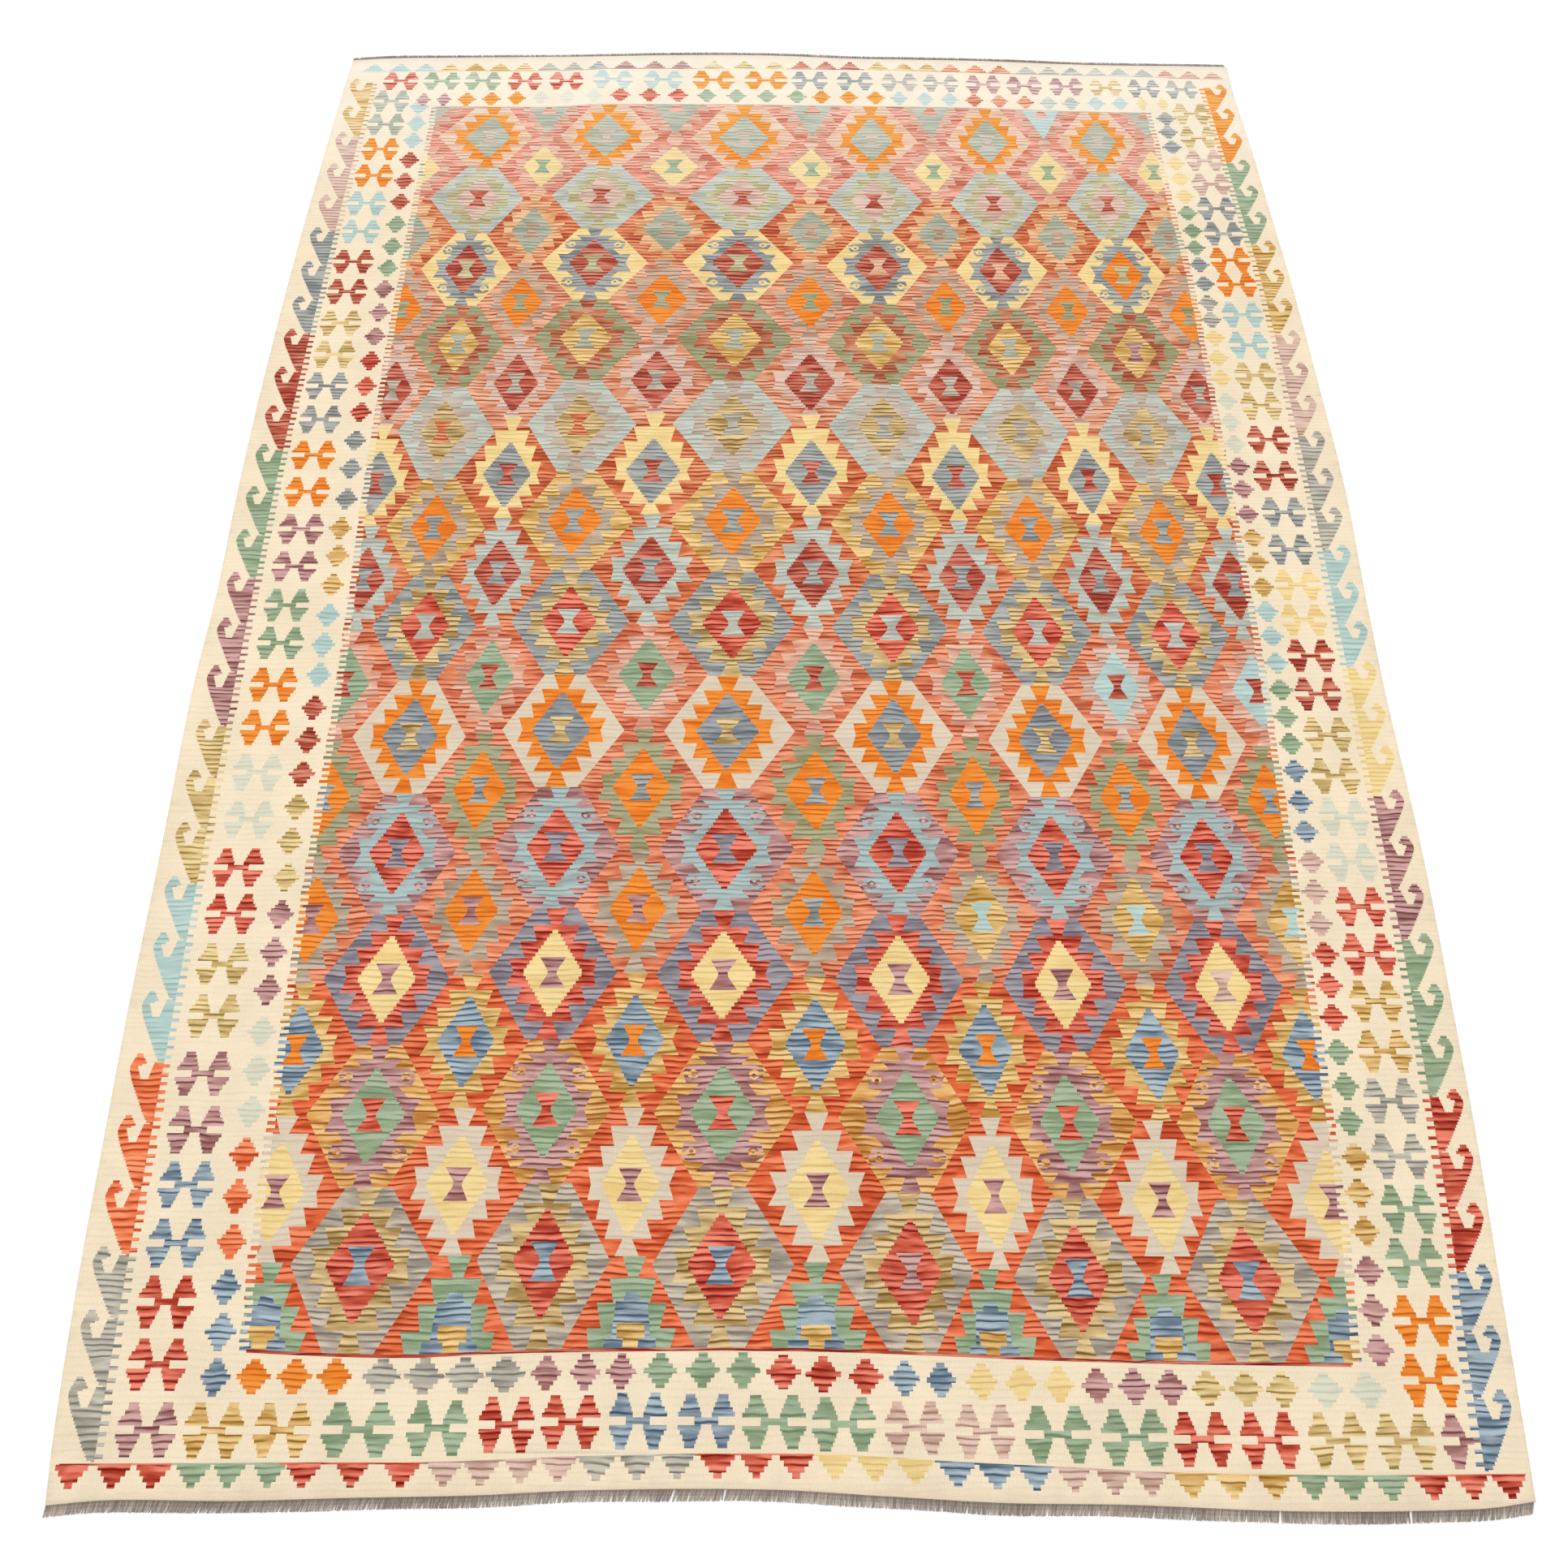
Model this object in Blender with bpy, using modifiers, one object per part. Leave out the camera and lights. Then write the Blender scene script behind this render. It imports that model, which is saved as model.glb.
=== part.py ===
"""Flat-woven kilim rug, lying flat: one sheet of cloth and a comb of cut warp ends along each end.

The origin is under the middle of the rug, on the floor. +X runs across the rug, +Y along it
from the near end to the far end, and +Z is up. Lengths are in metres.
"""
import bmesh
import bpy

MM = 0.001

CLOTH_THICKNESS = 3.0 * MM
WARP_THICKNESS = 2.0 * MM      # the warp ends lie thinner than the cloth
SEAM_GAP = 0.35 * MM           # between the cloth's end and the warp ends
EDGE_ROUND = 0.6 * MM          # worn roundness of the cloth's edges

SIDE_STEP = 50.0 * MM          # spacing of the outline's points along the sides

# Sides of the cloth: station y, left edge x, right edge x, in millimetres.
SIDES = (
    (-1500.0, -1006.5, 999.5),
    (-1412.0, -1015.5, 1004.5),
    (-1212.0, -1027.5, 1015.5),
    (-1012.0, -1034.5, 1027.5),
    (-812.0, -1040.5, 1034.5),
    (-512.0, -1044.5, 1042.5),
    (-212.0, -1050.5, 1040.5),
    (-12.0, -1045.5, 1043.5),
    (238.0, -1048.5, 1050.5),
    (488.0, -1046.5, 1045.5),
    (788.0, -1038.5, 1035.5),
    (988.0, -1030.5, 1024.5),
    (1188.0, -1020.5, 1013.5),
    (1388.0, -1009.5, 998.5),
    (1500.0, -1001.5, 996.5),
)

# Ends of the cloth: station x, near edge y, far edge y, in millimetres.
ENDS = (
    (-1010.0, -1503.0, 1483.0),
    (-920.0, -1496.0, 1492.0),
    (-760.0, -1497.0, 1496.0),
    (-600.0, -1493.0, 1499.0),
    (-440.0, -1490.0, 1504.0),
    (-280.0, -1483.0, 1511.0),
    (-40.0, -1482.0, 1512.0),
    (120.0, -1490.0, 1504.0),
    (280.0, -1498.0, 1501.0),
    (440.0, -1500.0, 1498.0),
    (680.0, -1508.0, 1487.0),
    (920.0, -1505.0, 1484.0),
    (1005.0, -1495.0, 1482.0),
)

# Warp ends: name, end of the rug (-1 near, 1 far), length in millimetres.
FRINGES = (
    ("fringe_near", -1, 15.4),
    ("fringe_far", 1, 11.0),
)
TUFT_PITCH = 24.0 * MM         # spacing of the tufts, and of the outline's points along the ends
TUFT_WIDTH = 0.86              # share of the pitch that a tuft fills
HEADING_DEPTH = 5.0 * MM       # unbroken band of warp next to the cloth


def slope(table, row, column):
    """Slope of a table's column at a row, from the rows on both sides of it."""
    before, after = table[max(row - 1, 0)], table[min(row + 1, len(table) - 1)]
    return (after[column] - before[column]) / (after[0] - before[0])


def between(table, station, column):
    """Value of a table's column at a station, in metres, on a smooth curve through its rows."""
    station = min(max(station / MM, table[0][0]), table[-1][0])
    row = 0
    while row < len(table) - 2 and station > table[row + 1][0]:
        row += 1
    low, high = table[row], table[row + 1]
    span = high[0] - low[0]
    t = (station - low[0]) / span
    start, stop = slope(table, row, column), slope(table, row + 1, column)
    value = (low[column] * (2 * t**3 - 3 * t**2 + 1) + high[column] * (3 * t**2 - 2 * t**3)
             + span * (start * (t**3 - 2 * t**2 + t) + stop * (t**3 - t**2)))
    return value * MM


def spaced(start, end, step):
    """Evenly spaced values from start to end, both included."""
    count = max(1, round(abs(end - start) / step))
    return [start + (end - start) * index / count for index in range(count + 1)]


def corner(side, end):
    """Point where a side (-1 left, 1 right) meets an end (-1 near, 1 far)."""
    x = side * 1000.0 * MM
    for _ in range(4):
        y = between(ENDS, x, 1 if end < 0 else 2)
        x = between(SIDES, y, 1 if side < 0 else 2)
    return x, y


def end_edge(end):
    """Points of the cloth's edge along one end, from left to right."""
    left, right = corner(-1, end), corner(1, end)
    column = 1 if end < 0 else 2
    return [(x, between(ENDS, x, column)) for x in spaced(left[0], right[0], TUFT_PITCH)]


def side_edge(side):
    """Points of the cloth's edge along one side, from near to far, without the corners."""
    low, high = corner(side, -1)[1], corner(side, 1)[1]
    column = 1 if side < 0 else 2
    return [(between(SIDES, y, column), y) for y in spaced(low, high, SIDE_STEP)[1:-1]]


def make_material(name, color, roughness):
    """Principled material of one finish."""
    material = bpy.data.materials.new(name)
    material.use_nodes = True
    shader = material.node_tree.nodes["Principled BSDF"]
    shader.inputs["Base Color"].default_value = (*color, 1.0)
    shader.inputs["Roughness"].default_value = roughness
    shader.inputs["Metallic"].default_value = 0.0
    return material


def flat_solid(name, outline, thickness, material, collection):
    """Closed flat solid of an outline, standing on the floor."""
    curve = bpy.data.curves.new(name + "_outline", "CURVE")
    curve.dimensions = "2D"
    curve.fill_mode = "BOTH"
    curve.extrude = thickness / 2
    spline = curve.splines.new("POLY")
    spline.points.add(len(outline) - 1)
    for point, (x, y) in zip(spline.points, outline):
        point.co = (x, y, 0.0, 1.0)
    spline.use_cyclic_u = True
    source = bpy.data.objects.new(name + "_outline", curve)
    collection.objects.link(source)
    bpy.context.view_layer.update()
    evaluated = source.evaluated_get(bpy.context.evaluated_depsgraph_get())
    mesh = bpy.data.meshes.new_from_object(evaluated)
    bpy.data.objects.remove(source)
    bpy.data.curves.remove(curve)

    shape = bmesh.new()
    shape.from_mesh(mesh)
    bmesh.ops.remove_doubles(shape, verts=shape.verts, dist=0.00001)
    bmesh.ops.translate(shape, verts=shape.verts, vec=(0.0, 0.0, thickness / 2))
    bmesh.ops.recalc_face_normals(shape, faces=shape.faces)
    shape.to_mesh(mesh)
    shape.free()

    mesh.name = name
    mesh.materials.clear()
    mesh.materials.append(material)
    solid = bpy.data.objects.new(name, mesh)
    collection.objects.link(solid)
    return solid


def make_cloth(collection):
    """The woven sheet, with its uneven outline and worn top edge."""
    outline = end_edge(-1) + side_edge(1) + end_edge(1)[::-1] + side_edge(-1)[::-1]
    material = make_material("wool_cloth", (0.63, 0.36, 0.25), 0.95)
    cloth = flat_solid("kilim", outline, CLOTH_THICKNESS, material, collection)
    bevel = cloth.modifiers.new("worn_edge", "BEVEL")
    bevel.width = EDGE_ROUND
    bevel.segments = 1
    bevel.limit_method = "ANGLE"
    bevel.angle_limit = 1.0
    return cloth


def make_fringe(name, end, length, collection):
    """Comb of cut warp ends that follows one end of the cloth."""
    edge = end_edge(end)
    column = 1 if end < 0 else 2

    def reach(x, depth):
        return x, between(ENDS, x, column) + end * (SEAM_GAP + depth)

    heading = [(x, y + end * SEAM_GAP) for x, y in edge]
    tufts = []
    for left, right in zip(edge, edge[1:]):
        inset = (right[0] - left[0]) * (1.0 - TUFT_WIDTH) / 2
        start, stop = left[0] + inset, right[0] - inset
        tufts += [reach(start, HEADING_DEPTH), reach(start, length)]
        tufts += [reach(stop, length), reach(stop, HEADING_DEPTH)]
    ends = [reach(edge[0][0], HEADING_DEPTH), reach(edge[-1][0], HEADING_DEPTH)]
    outline = heading + [ends[1]] + tufts[::-1] + [ends[0]]
    material = make_material(name + "_warp", (0.20, 0.17, 0.16), 0.9)
    return flat_solid(name, outline, WARP_THICKNESS, material, collection)


def main():
    for item in list(bpy.data.objects):
        bpy.data.objects.remove(item)
    collection = bpy.data.collections.new("kilim_rug")
    bpy.context.scene.collection.children.link(collection)
    make_cloth(collection)
    for name, end, length in FRINGES:
        make_fringe(name, end, length * MM, collection)


main()
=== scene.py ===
import math
import random

import bpy
import numpy
from mathutils import Matrix, Vector, geometry


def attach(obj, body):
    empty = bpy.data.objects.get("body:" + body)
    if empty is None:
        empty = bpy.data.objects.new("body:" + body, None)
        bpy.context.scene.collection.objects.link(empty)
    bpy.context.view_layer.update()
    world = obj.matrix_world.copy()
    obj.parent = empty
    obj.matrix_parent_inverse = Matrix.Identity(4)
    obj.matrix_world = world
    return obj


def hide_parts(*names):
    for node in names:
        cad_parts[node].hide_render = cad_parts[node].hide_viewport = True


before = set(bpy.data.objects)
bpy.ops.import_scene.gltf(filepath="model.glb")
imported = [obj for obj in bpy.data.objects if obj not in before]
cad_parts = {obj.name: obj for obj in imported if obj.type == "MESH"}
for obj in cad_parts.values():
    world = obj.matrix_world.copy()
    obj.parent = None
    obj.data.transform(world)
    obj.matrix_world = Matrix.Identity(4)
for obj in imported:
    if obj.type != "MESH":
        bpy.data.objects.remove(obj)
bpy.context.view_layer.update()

# A flat-woven kilim rug, lying flat: one weft-faced wool sheet with cut warp ends along both short sides.
# All plan sizes are millimetres. The chart is drawn in plan, and then moved by CHART_SHIFT on to the rug.
MM = 0.001
CHART_SHIFT = (-2.5, -12.0)
SEED = 1907

SHEET_THICKNESS = 3.0
EDGE_ROUND = 1.1
# Stations along each of the four edges, and rounds that close in on a corner.
EDGE_COUNT = 84
CORNER_ROUNDS = 12
# Least cosine taken at a corner, so that an inset edge doesn't run far past it.
CORNER_COSINE = 0.5
SELVEDGE_WIDTH = 7.0
SELVEDGE_RISE = 0.5
SELVEDGE_FOOT = 0.5
# Spacing of the points that hold the selvedge's ridge, and how many lie either side of the middle.
SELVEDGE_STEP = 25.0
SELVEDGE_ROWS = 58
RIPPLE_HEIGHT = 1.1
# Waves of the ripple: millimetres to a radian of the broad and slanting ones, across and along, where they
# start, in radians, and how high the slanting one is beside the broad one.
BROAD_WAVE = (240, 310)
BROAD_START = (1.3, 0.4)
SLANTING_WAVE = (130, 170)
SLANTING_START = 2.1
SLANTING_SHARE = 0.6
# Grid of loose plan points: spacing, counts either side of the middle, distances kept from the edges.
PLAN_GRID = 42.0
PLAN_COLUMNS = 24
PLAN_ROWS = 35
PLAN_SIDE = 20
PLAN_END = 15
# Dye and lot of the plain ground.
PLAIN_CLOTH = ("ivory", 0.5)
# The cutting of the chart: only what lies inside is kept, and points this near, in metres, are one.
INSIDE_ONLY = 1
MERGE_DISTANCE = 1e-6

rng = random.Random(SEED)

# -------------------- outline of the rug
# Long sides, from the near end to the far end: y, left x, right x.
SIDES = (
    (-1500, -1006.5, 999.5),
    (-1412, -1015.5, 1004.5),
    (-1212, -1027.5, 1015.5),
    (-1012, -1034.5, 1027.5),
    (-812, -1040.5, 1034.5),
    (-512, -1044.5, 1042.5),
    (-212, -1050.5, 1040.5),
    (-12, -1045.5, 1043.5),
    (238, -1048.5, 1050.5),
    (488, -1046.5, 1045.5),
    (788, -1038.5, 1035.5),
    (988, -1030.5, 1024.5),
    (1188, -1020.5, 1013.5),
    (1388, -1009.5, 998.5),
    (1500, -1001.5, 996.5),
)
LEFT, RIGHT = 1, 2

# Short ends, from left to right: x, near y, far y.
ENDS = (
    (-1010, -1503, 1483),
    (-920, -1496, 1492),
    (-760, -1497, 1496),
    (-600, -1493, 1499),
    (-440, -1490, 1504),
    (-280, -1483, 1511),
    (-40, -1482, 1512),
    (120, -1490, 1504),
    (280, -1498, 1501),
    (440, -1500, 1498),
    (680, -1508, 1487),
    (920, -1505, 1484),
    (1005, -1495, 1482),
)
NEAR, FAR = 1, 2

# -------------------- dyed wool yarns
# name: yarn colour, its darker colour and its paler colour, as display values; how strongly they streak (0
# to 1). The darker colour serves other dye batches and the painted shade lines, the paler one other dye
# batches and the painted highlights on the crests.
DYES = {
    "ivory": ((238, 220, 191), (224, 202, 170), (248, 234, 210), 0.10),
    "chalk": ((214, 198, 175), (198, 164, 130), (228, 218, 198), 0.25),
    "butter": ((235, 207, 142), (208, 164, 82), (244, 224, 174), 0.35),
    "gold": ((211, 170, 102), (170, 120, 32), (238, 204, 144), 0.95),
    "amber": ((213, 156, 86), (166, 98, 26), (236, 192, 130), 0.95),
    "straw": ((192, 163, 111), (136, 100, 38), (228, 200, 148), 0.95),
    "olive": ((207, 179, 120), (166, 136, 72), (238, 212, 156), 0.95),
    "reed": ((184, 176, 136), (158, 134, 80), (212, 210, 180), 0.70),
    "orange": ((231, 130, 38), (210, 92, 6), (242, 154, 70), 0.70),
    "peach": ((220, 168, 119), (188, 104, 56), (240, 200, 156), 0.80),
    "flame": ((232, 114, 68), (206, 76, 34), (248, 152, 106), 1.00),
    "coral": ((213, 122, 85), (176, 70, 42), (238, 160, 124), 1.00),
    "salmon": ((212, 144, 109), (180, 80, 50), (234, 182, 152), 1.00),
    "blush": ((216, 126, 102), (170, 72, 50), (242, 180, 158), 0.90),
    "petal": ((202, 150, 124), (176, 94, 66), (228, 186, 166), 0.80),
    "clay": ((201, 103, 60), (164, 56, 24), (232, 156, 114), 1.00),
    "vermilion": ((219, 98, 56), (174, 56, 22), (240, 138, 96), 1.00),
    "red": ((200, 86, 62), (150, 26, 10), (238, 136, 114), 1.00),
    "crimson": ((180, 80, 59), (136, 34, 20), (212, 136, 114), 1.00),
    "brick": ((181, 103, 72), (144, 58, 28), (208, 152, 122), 0.90),
    "sage": ((146, 163, 130), (102, 126, 88), (178, 196, 168), 0.60),
    "moss": ((156, 152, 117), (130, 122, 72), (178, 174, 142), 0.80),
    "verdigris": ((164, 168, 148), (130, 134, 114), (196, 194, 174), 0.65),
    "haze": ((181, 184, 172), (144, 142, 126), (210, 216, 204), 0.55),
    "lake": ((160, 178, 175), (136, 138, 136), (180, 200, 198), 0.60),
    "sky": ((173, 199, 193), (150, 170, 164), (206, 222, 214), 0.45),
    "blue": ((134, 149, 158), (76, 98, 122), (174, 189, 197), 0.95),
    "steel": ((137, 140, 142), (100, 106, 112), (164, 168, 170), 0.85),
    "plum": ((136, 130, 138), (102, 92, 102), (170, 162, 168), 0.90),
    "stone": ((173, 159, 142), (124, 116, 108), (210, 196, 176), 0.85),
    "slate": ((147, 149, 145), (106, 110, 110), (182, 182, 174), 0.85),
    "grey": ((173, 167, 153), (132, 126, 114), (204, 197, 182), 0.85),
    "taupe": ((175, 156, 134), (144, 120, 96), (202, 184, 166), 0.80),
    "ash": ((191, 173, 156), (154, 136, 122), (206, 192, 178), 0.70),
    "mauve": ((177, 130, 126), (132, 78, 76), (210, 166, 162), 1.00),
    "rose": ((214, 160, 137), (186, 112, 88), (234, 196, 172), 0.80),
    "pink": ((210, 178, 161), (168, 124, 106), (228, 198, 182), 0.75),
    "sand": ((223, 178, 147), (200, 128, 88), (232, 206, 182), 0.65),
    "biscuit": ((190, 157, 134), (158, 116, 92), (208, 184, 160), 0.80),
    "mist": ((214, 211, 189), (196, 192, 166), (224, 226, 210), 0.30),
}

# -------------------- chart: the medallions
# Rows of large medallions, far to near: y at the left, middle and right; dyes of the hexagon, star, diamond
# and middle; cut of the star.
LARGE_ROWS = (
    (1238, 1242, 1238, "sand", "orange", "verdigris", "ash", "toothed"),
    (1045, 1053, 1038, "haze", "reed", "pink", "crimson", "toothed"),
    (835, 858, 827, "butter", "slate", "crimson", "reed", "hooked"),
    (625, 642, 610, "moss", "brick", "gold", "verdigris", "toothed"),
    (395, 418, 395, "haze", "ash", "straw", "grey", "toothed"),
    (160, 180, 158, "gold", "taupe", "orange", "slate", "toothed"),
    (-62, -52, -75, "slate", "straw", "red", "haze", "toothed"),
    (-292, -277, -300, "chalk", "orange", "steel", "straw", "toothed"),
    (-515, -503, -517, "mauve", "lake", "red", "plum", "hooked"),
    (-737, -725, -745, "plum", "red", "butter", "mauve", "toothed"),
    (-955, -948, -965, "amber", "mauve", "sage", "red", "hooked"),
    (-1175, -1172, -1195, "stone", "straw", "red", "blue", "toothed"),
)
# Rows of medallions in the ground between them, far to near: dyes of the ground, star, diamond and middle;
# how far above the middle of the large row below it the star of each meets the star of the next.
GROUND_ROWS = (
    ("blush", "petal", "verdigris", "blush", -9),
    ("blush", "rose", "butter", "sage", 12),
    ("clay", "peach", "verdigris", "biscuit", 7),
    ("salmon", "biscuit", "orange", "moss", 10),
    ("salmon", "pink", "crimson", "stone", 25),
    ("clay", "butter", "slate", "crimson", 14),
    ("clay", "haze", "crimson", "slate", -5),
    ("coral", "rose", "sage", "crimson", 0),
    ("coral", "moss", "orange", "slate", -5),
    ("coral", "taupe", "orange", "mauve", 0),
    ("vermilion", "gold", "blue", "orange", 4),
    ("vermilion", "chalk", "butter", "mauve", 8),
    ("vermilion", "sage", "blue", "gold", 0),
)
# Columns of the two tables of rows.
HEXAGON_DYE, STAR_CUT = 3, 7
LARGE_DYES = slice(3, 7)
GROUND_DYE, SEAM = 0, 4
GROUND_DYES = slice(0, 4)
# Middles of the medallions across each row, from the left.
LARGE_X = (
    (-661, -407, -103, 178, 434, 679),
    (-669, -409, -104, 178, 434, 679),
    (-675, -414, -109, 181, 433, 689),
    (-669, -417, -114, 175, 439, 691),
    (-678, -415, -114, 179, 447, 689),
    (-668, -408, -110, 183, 445, 694),
    (-657, -402, -106, 179, 441, 687),
    (-656, -401, -113, 176, 435, 688),
    (-652, -392, -112, 175, 432, 685),
    (-641, -381, -111, 169, 426, 680),
    (-637, -374, -107, 174, 416, 668),
    (-626, -360, -105, 171, 410, 654),
)
GROUND_X = (
    (-812, -540, -255, 48, 311, 559, 790),
    (-809, -540, -255, 45, 311, 559, 790),
    (-801, -548, -260, 42, 314, 563, 798),
    (-793, -556, -266, 39, 317, 567, 812),
    (-786, -545, -268, 37, 314, 563, 806),
    (-788, -541, -266, 38, 313, 566, 809),
    (-781, -540, -261, 39, 312, 563, 810),
    (-786, -534, -256, 39, 307, 572, 817),
    (-788, -529, -255, 40, 308, 562, 806),
    (-775, -520, -251, 35, 307, 558, 809),
    (-767, -506, -247, 35, 300, 558, 798),
    (-763, -496, -242, 36, 298, 545, 798),
    (-751, -481, -230, 32, 280, 529, 784),
)
# Where the three levels of a row of large medallions are taken.
LEVEL_X = (-655, -108, 690)
# How far the rows wave above or below the smooth line through their three levels: x, rise.
LEVEL_SAG = ((-660, -2), (-405, 3), (-110, -3), (180, -8), (440, -9), (690, -1))

# Medallions whose yarns differ from their row: row, column: {part: dye}.
LARGE_CHANGES = {
    (2, 5): {"diamond": "orange"},
    (2, 3): {"middle": "sand"},
    (2, 4): {"middle": "sand"},
    (3, 5): {"middle": "mauve"},
    (4, 0): {"middle": "clay"},
    (4, 1): {"middle": "clay"},
    (9, 5): {"middle": "pink"},
    (11, 3): {"middle": "mauve"},
}
GROUND_CHANGES = {
    (0, 5): {"diamond": "sky"},
    (7, 5): {"star": "pink", "diamond": "sky"},
    (7, 6): {"diamond": "sky"},
    (9, 2): {"middle": "mauve"},
    (9, 3): {"middle": "slate"},
    (9, 4): {"diamond": "gold", "middle": "sky"},
    (9, 5): {"diamond": "gold", "middle": "sky"},
    (9, 6): {"diamond": "gold", "middle": "sky"},
}

# Quarter outlines, from the middle line up: part of the half height, part of the half width.
HEXAGON = ((0.0, 0.765), (1.0, 0.255))
LARGE_STAR = (
    (0.0, 0.48), (0.215, 0.535), (0.215, 0.35), (0.478, 0.415),
    (0.478, 0.22), (0.735, 0.29), (0.735, 0.055), (1.0, 0.135),
)
GROUND_STAR = (
    (0.0, 0.445), (0.223, 0.50), (0.223, 0.33), (0.496, 0.39),
    (0.496, 0.205), (0.763, 0.27), (0.763, 0.052), (1.0, 0.13),
)
HOOKED_STAR = (
    (0.0, 0.45), (0.243, 0.525), (0.243, 0.375), (0.40, 0.27), (0.41, 0.40), (0.50, 0.435),
    (0.60, 0.435), (0.665, 0.36), (0.665, 0.20), (0.70, 0.20), (0.80, 0.285), (0.80, 0.06), (1.0, 0.12),
)
LARGE_DIAMOND = ((0.0, 0.365), (0.66, 0.02))
GROUND_DIAMOND = ((0.0, 0.345), (0.66, 0.02))
FAR_DIAMOND = ((0.0, 0.345), (0.86, 0.02))
NEAR_DIAMOND = (
    (0.0, 0.30), (0.127, 0.28), (0.127, 0.215), (0.316, 0.20), (0.55, 0.18), (0.55, 0.10), (0.66, 0.07),
)
DIAMOND_STEP = 6.4
LARGE_HOURGLASS = ((0.0, 0.055), (0.03, 0.055), (0.235, 0.155))
GROUND_HOURGLASS = ((0.0, 0.05), (0.03, 0.05), (0.225, 0.14))
NEAR_HOURGLASS = ((0.0, 0.085), (0.127, 0.085), (0.127, 0.155), (0.30, 0.155))
# Curls of a hooked star: part of the half width, part of the half height, half sizes.
HOOK_EYE = (0.335, 0.535, 0.055, 0.08)
HOOK_SLIT = (0.405, 0.555, 0.05, 0.022)
HOOK_SPOT = (0.33, 0.52, 0.022, 0.035)
CURL_SHOULDER = 0.4
# How uneven the widths of hand-woven outlines are, as a part of each.
HEXAGON_WOBBLE = 0.015
STAR_WOBBLE = 0.04
HOOKED_WOBBLE = 0.03
DIAMOND_WOBBLE = 0.04
HOURGLASS_WOBBLE = 0.08
BUTTERFLY_WOBBLE = 0.02
SMALL_DIAMOND_WOBBLE = 0.07

# -------------------- chart: the borders
# Guide lines of the side borders, near to far: y, outer line of the hooks, butterflies, diamonds, field.
LEFT_GUIDES = (
    (-1450, -1000, -883, -798, -758),
    (-1290, -1006, -890, -807, -767),
    (-1130, -1010, -895, -815, -776),
    (-650, -1020, -906, -827, -786),
    (-170, -1027, -909, -832, -788),
    (310, -1027, -915, -840, -800),
    (835, -1015, -910, -837, -800),
    (1400, -995, -892, -827, -788),
)
RIGHT_GUIDES = (
    (-1450, 992, 884, 818, 778),
    (-1290, 1000, 892, 825, 787),
    (-1100, 1015, 905, 837, 803),
    (-650, 1030, 922, 852, 816),
    (-170, 1035, 925, 860, 826),
    (350, 1035, 925, 857, 826),
    (800, 1027, 922, 855, 823),
    (1040, 1012, 912, 847, 810),
    (1400, 988, 893, 833, 793),
)
HOOK_LINE, BUTTERFLY_LINE, DIAMOND_LINE, FIELD_LINE = 1, 2, 3, 4

# Edges of the field at the ends, left to right: x, near y, far y.
FIELD_ENDS = (
    (-800, -1292, 1336),
    (-640, -1299, 1337),
    (-520, -1300, 1339),
    (-430, -1295, 1350),
    (-300, -1292, 1351),
    (-100, -1290, 1352),
    (80, -1292, 1350),
    (350, -1302, 1348),
    (500, -1306, 1342),
    (650, -1308, 1336),
    (800, -1310, 1333),
)

# Runs of one yarn along a side border, near to far: dye, y of the first, y of the last, how many.
# A hook's y is its tip's, and a butterfly's or diamond's its middle's.
LEFT_HOOKS = (
    ("grey", -1327, -1150, 3), ("flame", -1055, -860, 3), ("sky", -758, -560, 3),
    ("olive", -460, -260, 3), ("mauve", -150, 54, 3), ("sage", 152, 357, 3),
    ("crimson", 455, 659, 3), ("slate", 751, 950, 3), ("pink", 1050, 1250, 3),
    ("gold", 1338, 1430, 2),
)
RIGHT_HOOKS = (
    ("blue", -1341, -1171, 3), ("red", -1084, -911, 3), ("sage", -826, -654, 3),
    ("mauve", -565, -389, 3), ("butter", -302, -131, 3), ("sky", -44, 130, 3),
    ("grey", 217, 405, 3), ("pink", 497, 672, 3), ("gold", 762, 930, 3),
    ("sage", 1017, 1180, 3), ("orange", 1266, 1430, 3),
)
LEFT_HOOK_START, RIGHT_HOOK_START = -1437, -1446
LEFT_BUTTERFLIES = (
    ("mauve", -1396, -1396, 1), ("red", -1312, -1229, 2), ("blue", -1146, -1061, 2),
    ("mauve", -979, -892, 2), ("olive", -801, -713, 2), ("red", -627, -543, 2),
    ("mist", -454, -366, 2), ("orange", -278, -189, 2), ("sage", -103, -19, 2),
    ("mauve", 66, 151, 2), ("orange", 240, 331, 2), ("slate", 419, 506, 2),
    ("olive", 592, 676, 2), ("crimson", 764, 851, 2), ("sky", 938, 1025, 2),
    ("orange", 1111, 1195, 2), ("verdigris", 1277, 1355, 2),
)
RIGHT_BUTTERFLIES = (
    ("orange", -1331, -1250, 2), ("sage", -1171, -1093, 2), ("grey", -1015, -931, 2),
    ("gold", -851, -771, 2), ("red", -691, -608, 2), ("mist", -525, -441, 2),
    ("olive", -364, -281, 2), ("crimson", -200, -118, 2), ("butter", -42, 38, 2),
    ("slate", 118, 206, 2), ("crimson", 292, 382, 2), ("olive", 468, 549, 2),
    ("sky", 631, 716, 2), ("orange", 800, 873, 2), ("slate", 951, 1027, 2),
    ("pink", 1101, 1177, 2), ("olive", 1251, 1331, 2),
)
LEFT_DIAMONDS = (
    ("blue", -1327, -1207, 3), ("flame", -1144, -1016, 3), ("mist", -952, -825, 3),
    ("mauve", -756, -626, 3), ("olive", -561, -430, 3), ("crimson", -367, -235, 3),
    ("sky", -170, -41, 3), ("gold", 24, 156, 3), ("slate", 225, 367, 3),
    ("red", 438, 572, 3), ("mauve", 640, 771, 3), ("sage", 833, 960, 3),
    ("crimson", 1031, 1162, 3), ("sky", 1225, 1337, 3),
)
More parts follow.
